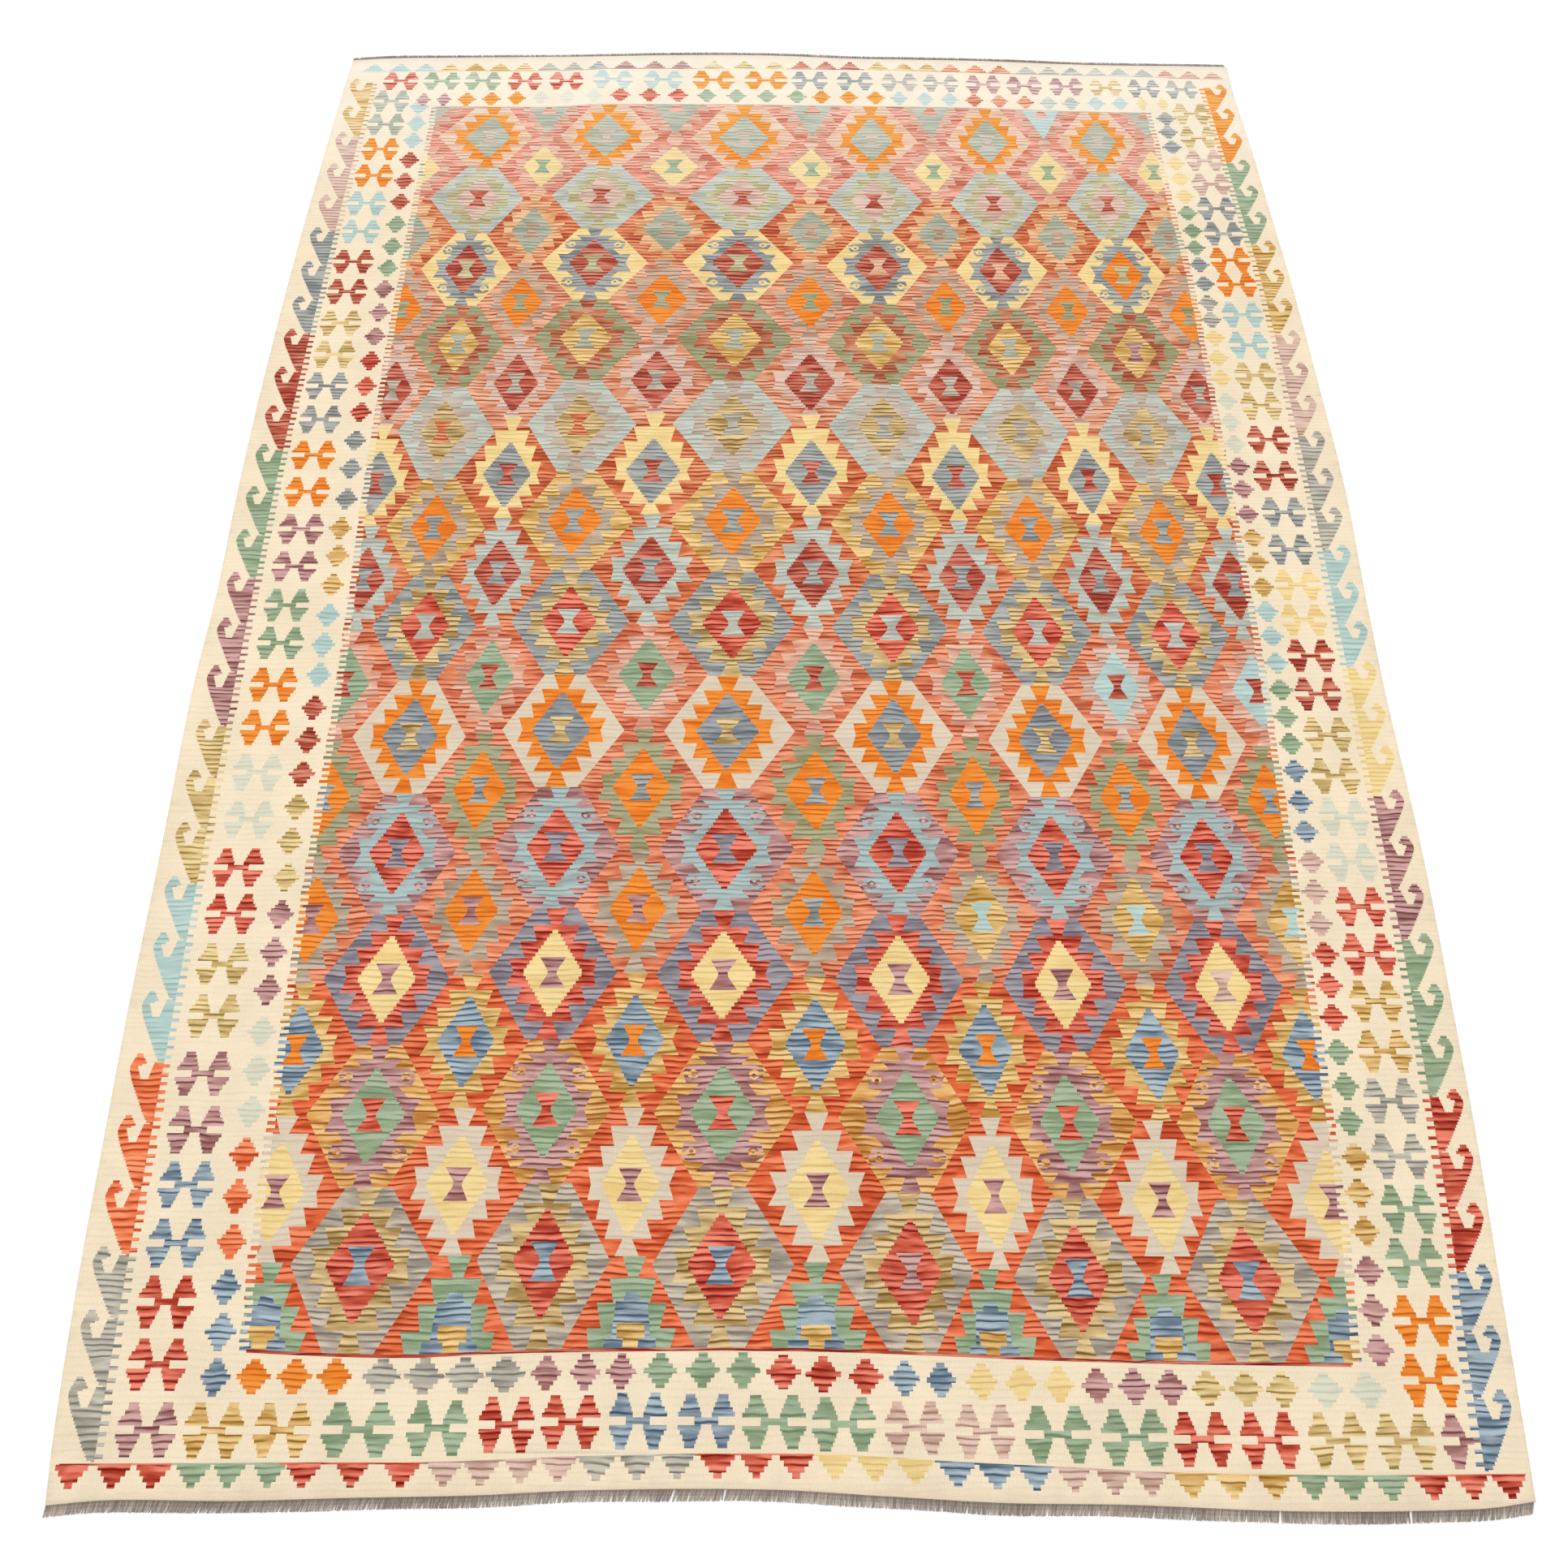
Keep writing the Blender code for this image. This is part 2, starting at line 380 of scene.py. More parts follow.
RIGHT_DIAMONDS = (
    ("mauve", -1289, -1180, 3), ("gold", -1124, -1016, 3), ("sage", -961, -852, 3),
    ("red", -797, -691, 3), ("pink", -638, -525, 3), ("blue", -471, -355, 3),
    ("sage", -300, -190, 3), ("sky", -134, -22, 3), ("gold", 32, 144, 3),
    ("mauve", 201, 316, 3), ("mist", 371, 480, 3), ("butter", 540, 649, 3),
    ("grey", 701, 749, 2), ("slate", 803, 857, 2), ("sage", 906, 1012, 3),
    ("butter", 1065, 1167, 3), ("slate", 1220, 1315, 3),
)

# Runs of one yarn along the ends, left to right: dye, x of the first, x of the last, how many; half width.
NEAR_TRIANGLES = (
    ("red", -977, -867, 3), ("sage", -815, -712, 3), ("red", -664, -532, 3),
    ("pink", -475, -320, 4), ("grey", -268, -159, 3), ("red", -105, 2, 3),
    ("butter", 57, 165, 3), ("blue", 222, 330, 3), ("pink", 382, 485, 3),
    ("gold", 540, 652, 3), ("sage", 705, 810, 3), ("red", 867, 972, 3),
)
NEAR_BUTTERFLIES = (
    ("gold", -795, -701, 2, 40), ("sage", -598, -598, 1, 51), ("sage", -490, -490, 1, 43),
    ("red", -395, -307, 2, 40), ("blue", -216, -121, 2, 41), ("sage", -28, 70, 2, 45),
    ("pink", 167, 263, 2, 42), ("sage", 363, 467, 2, 46), ("red", 560, 652, 2, 40),
    ("olive", 747, 840, 2, 41),
)
NEAR_DIAMONDS = (
    ("orange", -753, -639, 3, 23), ("grey", -573, -404, 4, 26), ("mauve", -345, -240, 3, 20),
    ("sage", -185, -72, 3, 22), ("red", -16, 100, 3, 23), ("blue", 156, 205, 2, 20),
    ("butter", 261, 370, 3, 21), ("mauve", 424, 526, 3, 21), ("olive", 577, 682, 3, 22),
    ("mist", 741, 799, 2, 24),
)
FAR_TRIANGLES = (
    ("sky", -947, -829, 3), ("gold", -772, -605, 4), ("verdigris", -550, -495, 2),
    ("slate", -438, -438, 1), ("mauve", -375, -247, 3), ("olive", -176, -36, 3),
    ("crimson", 23, 136, 3), ("gold", 199, 312, 3), ("coral", 365, 476, 3),
    ("grey", 536, 641, 3), ("haze", 695, 802, 3), ("rose", 855, 963, 3),
)
FAR_BUTTERFLIES = (
    ("red", -881, -881, 1, 39), ("sage", -790, -695, 2, 42), ("red", -601, -507, 2, 39),
    ("sky", -404, -289, 2, 46), ("orange", -174, -57, 2, 48), ("slate", 44, 146, 2, 42),
    ("grey", 246, 341, 2, 41), ("mauve", 436, 622, 3, 40), ("olive", 713, 713, 1, 37),
    ("slate", 798, 885, 2, 37),
)
FAR_DIAMONDS = (
    ("mauve", -823, -776, 2, 16), ("orange", -726, -615, 3, 20), ("mist", -561, -442, 3, 18),
    ("red", -382, -253, 3, 22), ("sage", -188, 14, 4, 21), ("orange", 69, 189, 3, 20),
    ("sky", 245, 359, 3, 19), ("coral", 411, 526, 3, 19), ("haze", 579, 630, 2, 19),
    ("sky", 686, 740, 2, 19), ("butter", 789, 837, 2, 13),
)
# Levels of the motif lines across the ends, left to right: x, triangles, butterflies, diamonds.
NEAR_LEVELS = (
    (-980, -1440, -1397, -1328),
    (-640, -1438, -1396, -1327),
    (-480, -1437, -1393, -1326),
    (-300, -1430, -1385, -1321),
    (-80, -1426, -1384, -1318),
    (80, -1428, -1388, -1325),
    (220, -1436, -1395, -1331),
    (380, -1443, -1401, -1336),
    (550, -1450, -1406, -1340),
    (800, -1452, -1408, -1343),
    (980, -1450, -1408, -1343),
)
FAR_LEVELS = (
    (-950, 1455, 1423, 1358),
    (-720, 1460, 1425, 1362),
    (-600, 1461, 1426, 1368),
    (-500, 1465, 1428, 1374),
    (-400, 1473, 1436, 1382),
    (-200, 1475, 1436, 1382),
    (50, 1476, 1436, 1380),
    (250, 1474, 1432, 1377),
    (420, 1468, 1427, 1372),
    (560, 1463, 1423, 1365),
    (740, 1459, 1418, 1364),
    (950, 1449, 1410, 1360),
)
TRIANGLE_LEVEL, BUTTERFLY_LEVEL, DIAMOND_LEVEL = 1, 2, 3

# One hook of the outer border for a pitch of HOOK_PITCH: in from the outer line, down from its tip.
HOOK_PITCH = 100.0
HOOK_TOP = 14.0
HOOK_BODY = 51.0
HOOK_HEAD = (
    (9.0, 0.0), (16.0, 0.0), (26.0, 17.0), (12.0, 20.0), (20.0, 42.0), (30.0, 42.0), (37.0, HOOK_TOP),
)
HOOK_BACK = (
    (41.0, 112.0), (31.0, 95.0), (19.0, 70.0), (6.5, 45.0), (0.0, 26.0), (1.0, 18.0), (6.0, 6.0),
)
HOOK_STEP = 4.6
HOOK_WOBBLE = 0.6
HOOK_PLACE_WOBBLE = 1.0
TOOTH_PITCH = 14.2
TOOTH_HEIGHT = 5.6
TOOTH_LENGTH = 11.0
# How a comb's teeth differ: heights and lengths as parts of the full one, and drop as a part of the pitch.
TOOTH_HEIGHTS = (0.85, 1.15)
TOOTH_LENGTHS = (0.88, 1.12)
TOOTH_DROPS = (0.15, 0.3)
# How far a tooth starts inside the hook.
TOOTH_ROOT = 1

# A butterfly: two lobes either side of a bar, x and y from its middle for one quarter.
BUTTERFLY_QUARTER = (
    (17.0, 0.0), (17.0, 5.4), (41.5, 5.4), (40.0, 12.0), (35.0, 18.0), (31.5, 26.0),
    (29.5, 35.5), (17.5, 35.5), (13.0, 24.0), (8.5, 12.0), (6.5, 4.4),
)
BUTTERFLY_HALF = 41.5
BUTTERFLY_BAR = 6.0
BUTTERFLY_STEP = 6.5
BUTTERFLY_WIDTHS = (0.97, 1.03)
BUTTERFLY_HEIGHTS = (0.96, 1.03)
# The butterfly that had no room at the near right corner: x, y, where its bar stops, dye.
HALF_BUTTERFLY = (931.5, -1408, 943, "mauve")
HALF_BAR = 2.2
# A small diamond of the inner guard line, x and y from its middle for one quarter.
SMALL_DIAMOND_QUARTER = (
    (21.5, 0.0), (21.5, 3.8), (15.5, 3.8), (15.5, 10.5),
    (11.0, 10.5), (11.0, 17.5), (6.0, 17.5), (6.0, 25.0),
)
SMALL_DIAMOND_HALF = 20.5
SMALL_DIAMOND_HEIGHTS = (0.96, 1.04)
# Half of a triangle of the end borders: x from its middle, y from its base.
TRIANGLE_STEPS = (
    (22.5, 0.0), (22.5, 7.5), (17.0, 7.5), (17.0, 15.0),
    (11.5, 15.0), (11.5, 22.5), (5.5, 22.5), (5.5, 30.0),
)
TRIANGLE_WIDTHS = (0.92, 1.06)
TRIANGLE_LINE = 2.6
TRIANGLE_LINE_DROP = 1.2
TRIANGLE_LINE_PAST = 3
LONE_TRIANGLE_HALF = 28
# How tall the motifs are in the borders where they are beaten down harder, as a part of their full height.
RIGHT_DIAMOND_HIGH = 0.87
FAR_TRIANGLE_HIGH = 0.87
FAR_MOTIF_HIGH = 0.86
NEAR_DIAMOND_HIGH = 0.94
# How far a motif sits off its even place, either way.
PLACE_WOBBLE = 1.5
# Comb of the field's yarns along the side borders: pitch, height and reach of a tooth, how far the ground
# between two teeth lies inside the line, how far the line wanders, and how far it runs on at the near end.
FIELD_COMB_PITCH = 11.5
FIELD_COMB_HEIGHT = 5.8
FIELD_COMB_REACH = (10.0, 13.0)
FIELD_COMB_INSET = (0.0, 1.5)
FIELD_COMB_WANDER = 1.0
FIELD_COMB_PAST = 20
# From the rug's middle: how far the end lines and end grounds reach across, how far the borders' grounds
# reach along, and where the waves of the field's rows stop.
END_LINE_REACH = 996.0
END_GROUND_HALF = 850
BORDER_TOP = 1425.0
FIELD_HALF = 800
# How far the side grounds run past the field's edge, the half rows past its ends, and the outermost
# grounds past the middles of their medallions.
FIELD_OVERLAP = 100.0
HALF_ROW_OVERLAP = 60.0
GROUND_OVERLAP = 70
# Spacing of the points along a wavy edge and a thin line.
END_GROUND_STEP = 50
LINE_STEP = 50
# Thin lines where the field meets the end borders: end, how far below, first x, last x, thickness, dye.
FIELD_LINES = (
    (NEAR, 2.5, -768, 783, 4.6, "crimson"),
    (FAR, 1.5, -795, 795, 2.5, "verdigris"),
)

# The two side borders: side, guides, start of the hooks, hooks, butterflies, diamonds, diamonds' height.
SIDE_BORDERS = (
    (-1, LEFT_GUIDES, LEFT_HOOK_START, LEFT_HOOKS, LEFT_BUTTERFLIES, LEFT_DIAMONDS, 1.0),
    (1, RIGHT_GUIDES, RIGHT_HOOK_START, RIGHT_HOOKS, RIGHT_BUTTERFLIES, RIGHT_DIAMONDS, RIGHT_DIAMOND_HIGH),
)


# -------------------- guides and levels
def slope(table, row, column):
    """Slope of a guide at a row, from its neighbours."""
    low = max(row - 1, 0)
    high = min(row + 1, len(table) - 1)
    return (table[high][column] - table[low][column]) / (table[high][0] - table[low][0])


def between(table, station, column):
    """Smooth value of a guide table's column at any station."""
    if station <= table[0][0]:
        return table[0][column] + (station - table[0][0]) * slope(table, 0, column)
    if station >= table[-1][0]:
        last = len(table) - 1
        return table[-1][column] + (station - table[-1][0]) * slope(table, last, column)
    row = max(i for i in range(len(table) - 1) if table[i][0] <= station)
    span = table[row + 1][0] - table[row][0]
    t = (station - table[row][0]) / span
    start = table[row][column]
    stop = table[row + 1][column]
    rise_in = slope(table, row, column) * span
    rise_out = slope(table, row + 1, column) * span
    return (
        start * (2 * t ** 3 - 3 * t ** 2 + 1)
        + rise_in * (t ** 3 - 2 * t ** 2 + t)
        + stop * (3 * t ** 2 - 2 * t ** 3)
        + rise_out * (t ** 3 - t ** 2)
    )


def field_edge(x, end):
    """Level at which the field ends, near or far."""
    return between(FIELD_ENDS, x, end)


def large_level(row, x):
    """Level of the middles of a row of large medallions, through its three charted levels."""
    level = between(LEVEL_SAG, min(max(x, -FIELD_HALF), FIELD_HALF), 1)
    for i, place in enumerate(LEVEL_X):
        weight = 1.0
        for j, other in enumerate(LEVEL_X):
            if i != j:
                weight *= (x - other) / (place - other)
        level += weight * LARGE_ROWS[row][i]
    return level


def ground_level(row, x):
    """Level of the middles of a row of ground medallions."""
    if row == 0:
        return field_edge(x, FAR)
    if row == len(LARGE_ROWS):
        return field_edge(x, NEAR)
    return (large_level(row - 1, x) + large_level(row, x)) / 2


# -------------------- drawing the chart
# The colour areas drawn so far, and whether sloping sides are being drawn in fine steps (empty: no).
WOVEN = []
FINE_STEPS = []
# What counts as one point, as a straight side and as a side without a slope.
SAME_POINT = 0.05
STRAIGHT_TURN = 1e-3
LEVEL_SIDE = 0.5


def weave(ring, dye, lot=None):
    """Adds one colour area to the chart. Later areas cover earlier ones."""
    points = without_spikes([(x + CHART_SHIFT[0], y + CHART_SHIFT[1]) for x, y in ring])
    if turning(points) < 0:
        points.reverse()
    WOVEN.append((points, dye, rng.random() if lot is None else lot))


def without_spikes(ring):
    """The ring without doubled points, points along a straight side, and sides that run back."""
    points = list(ring)
    k = 0
    calm = 0
    while calm < len(points) and len(points) > 3:
        a, b, c = points[k - 1], points[k % len(points)], points[(k + 1) % len(points)]
        cross = (b[0] - a[0]) * (c[1] - b[1]) - (b[1] - a[1]) * (c[0] - b[0])
        if math.dist(a, b) < SAME_POINT or abs(cross) < STRAIGHT_TURN:
            points.pop(k % len(points))
            k = max(k - 1, 0) % len(points)
            calm = 0
        else:
            k = (k + 1) % len(points)
            calm += 1
    return points


def turning(ring):
    """Twice the ring's area, below zero if it runs clockwise."""
    return sum(a[0] * b[1] - b[0] * a[1] for a, b in zip(ring, ring[1:] + ring[:1]))


def stepped(ring, step):
    """The ring with each sloping side in level steps, as a flat weave makes it, on the upper face."""
    if not FINE_STEPS:
        return list(ring)
    result = []
    for (x0, y0), (x1, y1) in zip(ring, ring[1:] + ring[:1]):
        result.append((x0, y0))
        if abs(x1 - x0) < LEVEL_SIDE or abs(y1 - y0) < LEVEL_SIDE:
            continue
        count = max(1, round(abs(y1 - y0) / step))
        for k in range(count):
            x = x0 + (x1 - x0) * (k + 0.5) / count
            result.append((x, y0 + (y1 - y0) * k / count))
            result.append((x, y0 + (y1 - y0) * (k + 1) / count))
    return result


def uneven(quarter, amount):
    """A quarter outline with its widths a little off, as hand weaving leaves them."""
    return [(height, width * (1 + rng.uniform(-amount, amount))) for height, width in quarter]


def four_quarters(quarters, centre, reach):
    """Closed ring from four quarter outlines, each scaled to its own side's reach."""
    left, right, up, down = reach
    cx, cy = centre
    ring = [(cx + w * right, cy + h * up) for h, w in quarters[0]]
    ring += [(cx - w * left, cy + h * up) for h, w in reversed(quarters[1])]
    ring += [(cx - w * left, cy - h * down) for h, w in quarters[2]]
    ring += [(cx + w * right, cy - h * down) for h, w in reversed(quarters[3])]
    return ring


def shape(quarter, centre, reach, amount):
    """Closed ring of a quarter outline that is mirrored both ways, a little uneven."""
    quarters = [uneven(quarter, amount) for _ in range(4)]
    quarters[3][0] = quarters[0][0]
    quarters[2][0] = quarters[1][0]
    return four_quarters(quarters, centre, reach)


def hook_eyes(centre, reach, eye_dye, spot_dye):
    """Curls in the four hooks of a hooked star: an eye, a slit that opens it outwards, and a spot."""
    left, right, up, down = reach
    curls = ((HOOK_EYE, eye_dye), (HOOK_SLIT, eye_dye), (HOOK_SPOT, spot_dye))
    for side, width in ((-1, left), (1, right)):
        for way, height in ((-1, down), (1, up)):
            for (s, t, half_s, half_t), dye in curls:
                x = centre[0] + side * s * width
                y = centre[1] + way * t * height
                w = half_s * width
                h = half_t * height
                low, high = y - h * CURL_SHOULDER, y + h * CURL_SHOULDER
                lower = [(x - w, low), (x, y - h), (x + w, low)]
                upper = [(x + w, high), (x, y + h), (x - w, high)]
                weave(lower + upper, dye)


def large_place(row, column):
    """Middle of a large medallion, and its reach left, right, up and down to its neighbours' middles."""
    x = LARGE_X[row][column]
    y = large_level(row, x)
    left = x - (GROUND_X[row][column] + GROUND_X[row + 1][column]) / 2
    right = (GROUND_X[row][column + 1] + GROUND_X[row + 1][column + 1]) / 2 - x
    return (x, y), (left, right, ground_level(row, x) - y, y - ground_level(row + 1, x))


def large_medallion(row, column):
    """Star, diamond and hourglass of one large medallion."""
    centre, reach = large_place(row, column)
    dyes = yarns(row, column, LARGE_ROWS[row][LARGE_DYES], LARGE_CHANGES)
    if LARGE_ROWS[row][STAR_CUT] == "hooked":
        weave(shape(HOOKED_STAR, centre, reach, HOOKED_WOBBLE), dyes["star"])
        hook_eyes(centre, reach, dyes["hexagon"], dyes["star"])
    else:
        weave(shape(LARGE_STAR, centre, reach, STAR_WOBBLE), dyes["star"])
    weave(stepped(shape(LARGE_DIAMOND, centre, reach, DIAMOND_WOBBLE), DIAMOND_STEP), dyes["diamond"])
    weave(shape(LARGE_HOURGLASS, centre, reach, HOURGLASS_WOBBLE), dyes["middle"])


def beside(row, column):
    """Middles of the large medallions left and right of a ground medallion, or None past the last."""
    above = LARGE_X[max(row - 1, 0)]
    below = LARGE_X[min(row, len(LARGE_X) - 1)]
    left = (above[column - 1] + below[column - 1]) / 2 if column > 0 else None
    right = (above[column] + below[column]) / 2 if column < len(above) else None
    return left, right


def ground_place(row, column):
    """Middle of a ground medallion, and its reach left, right, up and down."""
    x = GROUND_X[row][column]
    y = ground_level(row, x)
    left_middle, right_middle = beside(row, column)
    left = right_middle - x if left_middle is None else x - left_middle
    right = left if right_middle is None else right_middle - x
    up = large_level(row - 1, x) - y if row > 0 else HALF_ROW_OVERLAP
    down = y - large_level(row, x) if row < len(LARGE_ROWS) else HALF_ROW_OVERLAP
    return (x, y), (left, right, up, down)


def ground_medallion(row, column):
    """Star, diamond and hourglass of one ground medallion."""
    centre, reach = ground_place(row, column)
    dyes = yarns(row, column, GROUND_ROWS[row][GROUND_DYES], GROUND_CHANGES)
    seam_above = GROUND_ROWS[row - 1][SEAM] if row > 0 else 0
    seam_below = GROUND_ROWS[row][SEAM] if row < len(LARGE_ROWS) else 0
    if dyes["star"] != dyes["hexagon"]:
        left, right, up, down = reach
        star_reach = (left, right, up + seam_above, down - seam_below)
        weave(shape(GROUND_STAR, centre, star_reach, STAR_WOBBLE), dyes["star"])
    diamond, hourglass = GROUND_DIAMOND, GROUND_HOURGLASS
    if row == 0:
        diamond = FAR_DIAMOND
    if row == len(LARGE_ROWS):
        diamond, hourglass = NEAR_DIAMOND, NEAR_HOURGLASS
    weave(stepped(shape(diamond, centre, reach, DIAMOND_WOBBLE), DIAMOND_STEP), dyes["diamond"])
    weave(shape(hourglass, centre, reach, HOURGLASS_WOBBLE), dyes["middle"])


def ground_top(row, x):
    """Upper edge of a row's ground."""
    return large_level(row - 1, x) if row > 0 else field_edge(x, FAR) + HALF_ROW_OVERLAP


def ground_foot(row, x):
    """Lower edge of a row's ground."""
    return large_level(row, x) if row < len(LARGE_ROWS) else field_edge(x, NEAR) - HALF_ROW_OVERLAP


def ground_colour(row, column):
    """Ground of one ground medallion, reaching under the large medallions beside it."""
    left, right = beside(row, column)
    middle = GROUND_X[row][column]
    left = middle - GROUND_OVERLAP if left is None else left
    right = middle + GROUND_OVERLAP if right is None else right
    places = (left, middle, right)
    foot = [(x, ground_foot(row, x)) for x in places]
    top = [(x, ground_top(row, x)) for x in reversed(places)]
    weave(foot + top, GROUND_ROWS[row][GROUND_DYE])


def yarns(row, column, names, changes):
    """Dyes of a medallion's parts, with its own changes from the row's."""
    dyes = dict(zip(("hexagon", "star", "diamond", "middle"), names))
    dyes.update(changes.get((row, column), {}))
    return dyes


def all_places(table):
    """Row and column of every medallion in a table of middles."""
    return [(row, column) for row, middles in enumerate(table) for column in range(len(middles))]


def draw_field():
    """All the medallions, running on under the borders."""
    for row, column in all_places(GROUND_X):
        ground_colour(row, column)
    for row, column in all_places(LARGE_X):
        centre, reach = large_place(row, column)
        weave(shape(HEXAGON, centre, reach, HEXAGON_WOBBLE), LARGE_ROWS[row][HEXAGON_DYE])
    for row, column in all_places(GROUND_X):
        ground_medallion(row, column)
    for row, column in all_places(LARGE_X):
        large_medallion(row, column)


def border_ground(guides, side):
    """Ivory ground of one side border, its inner edge let into the field like a comb."""
    y = field_edge(0, FAR)
    line = between(guides, y, FIELD_LINE)
    outer = line + side * FIELD_OVERLAP
    ring = [(outer, -BORDER_TOP), (outer, BORDER_TOP), (line, BORDER_TOP)]
    while y > field_edge(0, NEAR) - FIELD_COMB_PAST:
        line = between(guides, y, FIELD_LINE) + rng.uniform(-FIELD_COMB_WANDER, FIELD_COMB_WANDER)
        tip = line + side * rng.uniform(*FIELD_COMB_REACH)
        inner = line - side * rng.uniform(*FIELD_COMB_INSET)
        height = FIELD_COMB_HEIGHT * rng.uniform(*TOOTH_HEIGHTS)
        foot = y - FIELD_COMB_PITCH
        ring += [(inner, y), (inner, foot + height), (tip, foot + height), (tip, foot)]
        y -= FIELD_COMB_PITCH
    ring.append((between(guides, y, FIELD_LINE), -BORDER_TOP))
    weave(ring, *PLAIN_CLOTH)


def end_ground(end, way):
    """Ivory ground of one end border."""
    stations = range(-END_GROUND_HALF, END_GROUND_HALF + 1, END_GROUND_STEP)
    edge = [(x, field_edge(x, end)) for x in stations]
    weave(edge + [(edge[-1][0], way * BORDER_TOP), (edge[0][0], way * BORDER_TOP)], *PLAIN_CLOTH)


def thin_line(level, first, last, thickness, dye):
    """A line of a few wefts, at a level that may change along it."""
    count = max(2, round((last - first) / LINE_STEP))
    stations = [first + (last - first) * k / count for k in range(count + 1)]
    lower = [(x, level(x)) for x in stations]
    weave(lower + [(x, y + thickness) for x, y in reversed(lower)], dye)


def small_diamond(x, y, dye, half=SMALL_DIAMOND_HALF, high=1.0):
    """A stepped diamond of the inner guard line."""
    wide = half / SMALL_DIAMOND_HALF
    quarter = [(h * high * rng.uniform(*SMALL_DIAMOND_HEIGHTS), w * wide) for w, h in SMALL_DIAMOND_QUARTER]
    quarter[0] = (0.0, quarter[0][1])
    for k in range(1, len(quarter) - 1, 2):
        quarter[k] = (quarter[k + 1][0], quarter[k][1])
    weave(shape(quarter, (x, y), (1, 1, 1, 1), SMALL_DIAMOND_WOBBLE), dye)


def butterfly(x, y, dye, half=BUTTERFLY_HALF, high=1.0):
    """Two lobes joined by a bar, with a slit of ground in each side."""
    wide = half / BUTTERFLY_HALF * rng.uniform(*BUTTERFLY_WIDTHS)
    high *= rng.uniform(*BUTTERFLY_HEIGHTS)
    quarter = [(h * (high if h > BUTTERFLY_BAR else 1.0), w * wide) for w, h in BUTTERFLY_QUARTER]
    ring = shape(quarter, (x, y), (1, 1, 1, 1), BUTTERFLY_WOBBLE)
    weave(stepped(ring, BUTTERFLY_STEP), dye)


def half_butterfly(x, y, stop, dye):
    """The left lobe of a butterfly whose right lobe had no room, and its bar as far as stop."""
    upper = [(x - w, y + h) for w, h in BUTTERFLY_QUARTER]
    bar = [(stop, y + HALF_BAR), (stop, y - HALF_BAR)]
    lower = [(x - w, y - h) for w, h in reversed(BUTTERFLY_QUARTER)]
    weave(stepped(upper + bar + lower, BUTTERFLY_STEP), dye)


def spread(first, last, count, wobble):
    """Even places from first to last, each a little off."""
    if count == 1:
        return [first]
    return [first + (last - first) * k / (count - 1) + rng.uniform(-wobble, wobble) for k in range(count)]


def side_motifs(guides, runs, line, draw, half, high):
    """A line of motifs down one side border."""
    for dye, first, last, count in runs:
        for y in spread(first, last, count, PLACE_WOBBLE):
            draw(between(guides, y, line) + rng.uniform(-PLACE_WOBBLE, PLACE_WOBBLE), y, dye, half, high)


def end_motifs(runs, levels, line, draw, high):
    """A line of motifs along one end border."""
    for dye, first, last, count, half in runs:
        for x in spread(first, last, count, PLACE_WOBBLE):
            draw(x, between(levels, x, line), dye, half, high)


def hook(guides, side, top, pitch, dye):
    """One hook of the border, its tip at the top."""
    scale = pitch / HOOK_PITCH
    foot = (HOOK_TOP + HOOK_PITCH) * scale
    sloping = [(x + rng.uniform(-HOOK_WOBBLE, HOOK_WOBBLE), down * scale) for x, down in HOOK_HEAD]
    sloping += [(HOOK_BODY, HOOK_TOP * scale), (HOOK_BODY, foot)]
    sloping += [(x, down * scale) for x, down in HOOK_BACK]
    ring = []
    for x, down in sloping:
        y = top - down
        ring.append((between(guides, y, HOOK_LINE) - side * x, y))
    weave(stepped(ring, HOOK_STEP), dye)


def hook_comb(guides, side, foot, top, dye):
    """Teeth along the inner edge of one hook, in its own yarn."""
    count = max(1, round((top - foot) / TOOTH_PITCH))
    for k in range(count):
        y = top - (top - foot) * (k + rng.uniform(*TOOTH_DROPS)) / count
        inner = between(guides, y, HOOK_LINE) - side * (HOOK_BODY - TOOTH_ROOT)
        tip = inner - side * (TOOTH_LENGTH + TOOTH_ROOT) * rng.uniform(*TOOTH_LENGTHS)
        height = TOOTH_HEIGHT * rng.uniform(*TOOTH_HEIGHTS)
        weave([(inner, y), (tip, y), (tip, y - height), (inner, y - height)], dye)


def hook_border(guides, side, runs, start):
    """The outer border of hooks down one side, from the near end to the far end."""
    foot = start
    for dye, first, last, count in runs:
        for tip in spread(first, last, count, HOOK_PLACE_WOBBLE):
            pitch = (tip - foot) / (HOOK_TOP + HOOK_PITCH) * HOOK_PITCH
            hook(guides, side, tip, pitch, dye)
            top = tip - HOOK_TOP * pitch / HOOK_PITCH
            hook_comb(guides, side, foot, top, dye)
            foot = top


def end_triangles(runs, levels, way, flat):
    """Stepped triangles on one thin line at an end border; they point outwards."""
    for dye, first, last, count in runs:
        half = (last - first) / (count - 1) / 2 + TRIANGLE_LINE_PAST if count > 1 else LONE_TRIANGLE_HALF
        start = max(first - half, -END_LINE_REACH)
        stop = min(last + half, END_LINE_REACH)
        thin_line(lambda x: between(levels, x, TRIANGLE_LEVEL) - TRIANGLE_LINE_DROP, start, stop,
                  TRIANGLE_LINE, dye)
        for x in spread(first, last, count, PLACE_WOBBLE):
            y = between(levels, x, TRIANGLE_LEVEL)
            wide = rng.uniform(*TRIANGLE_WIDTHS)
            right = [(x + w * wide, y + way * h * flat) for w, h in TRIANGLE_STEPS]
            left = [(x - w * wide, y + way * h * flat) for w, h in reversed(TRIANGLE_STEPS)]
            weave(right + left, dye)


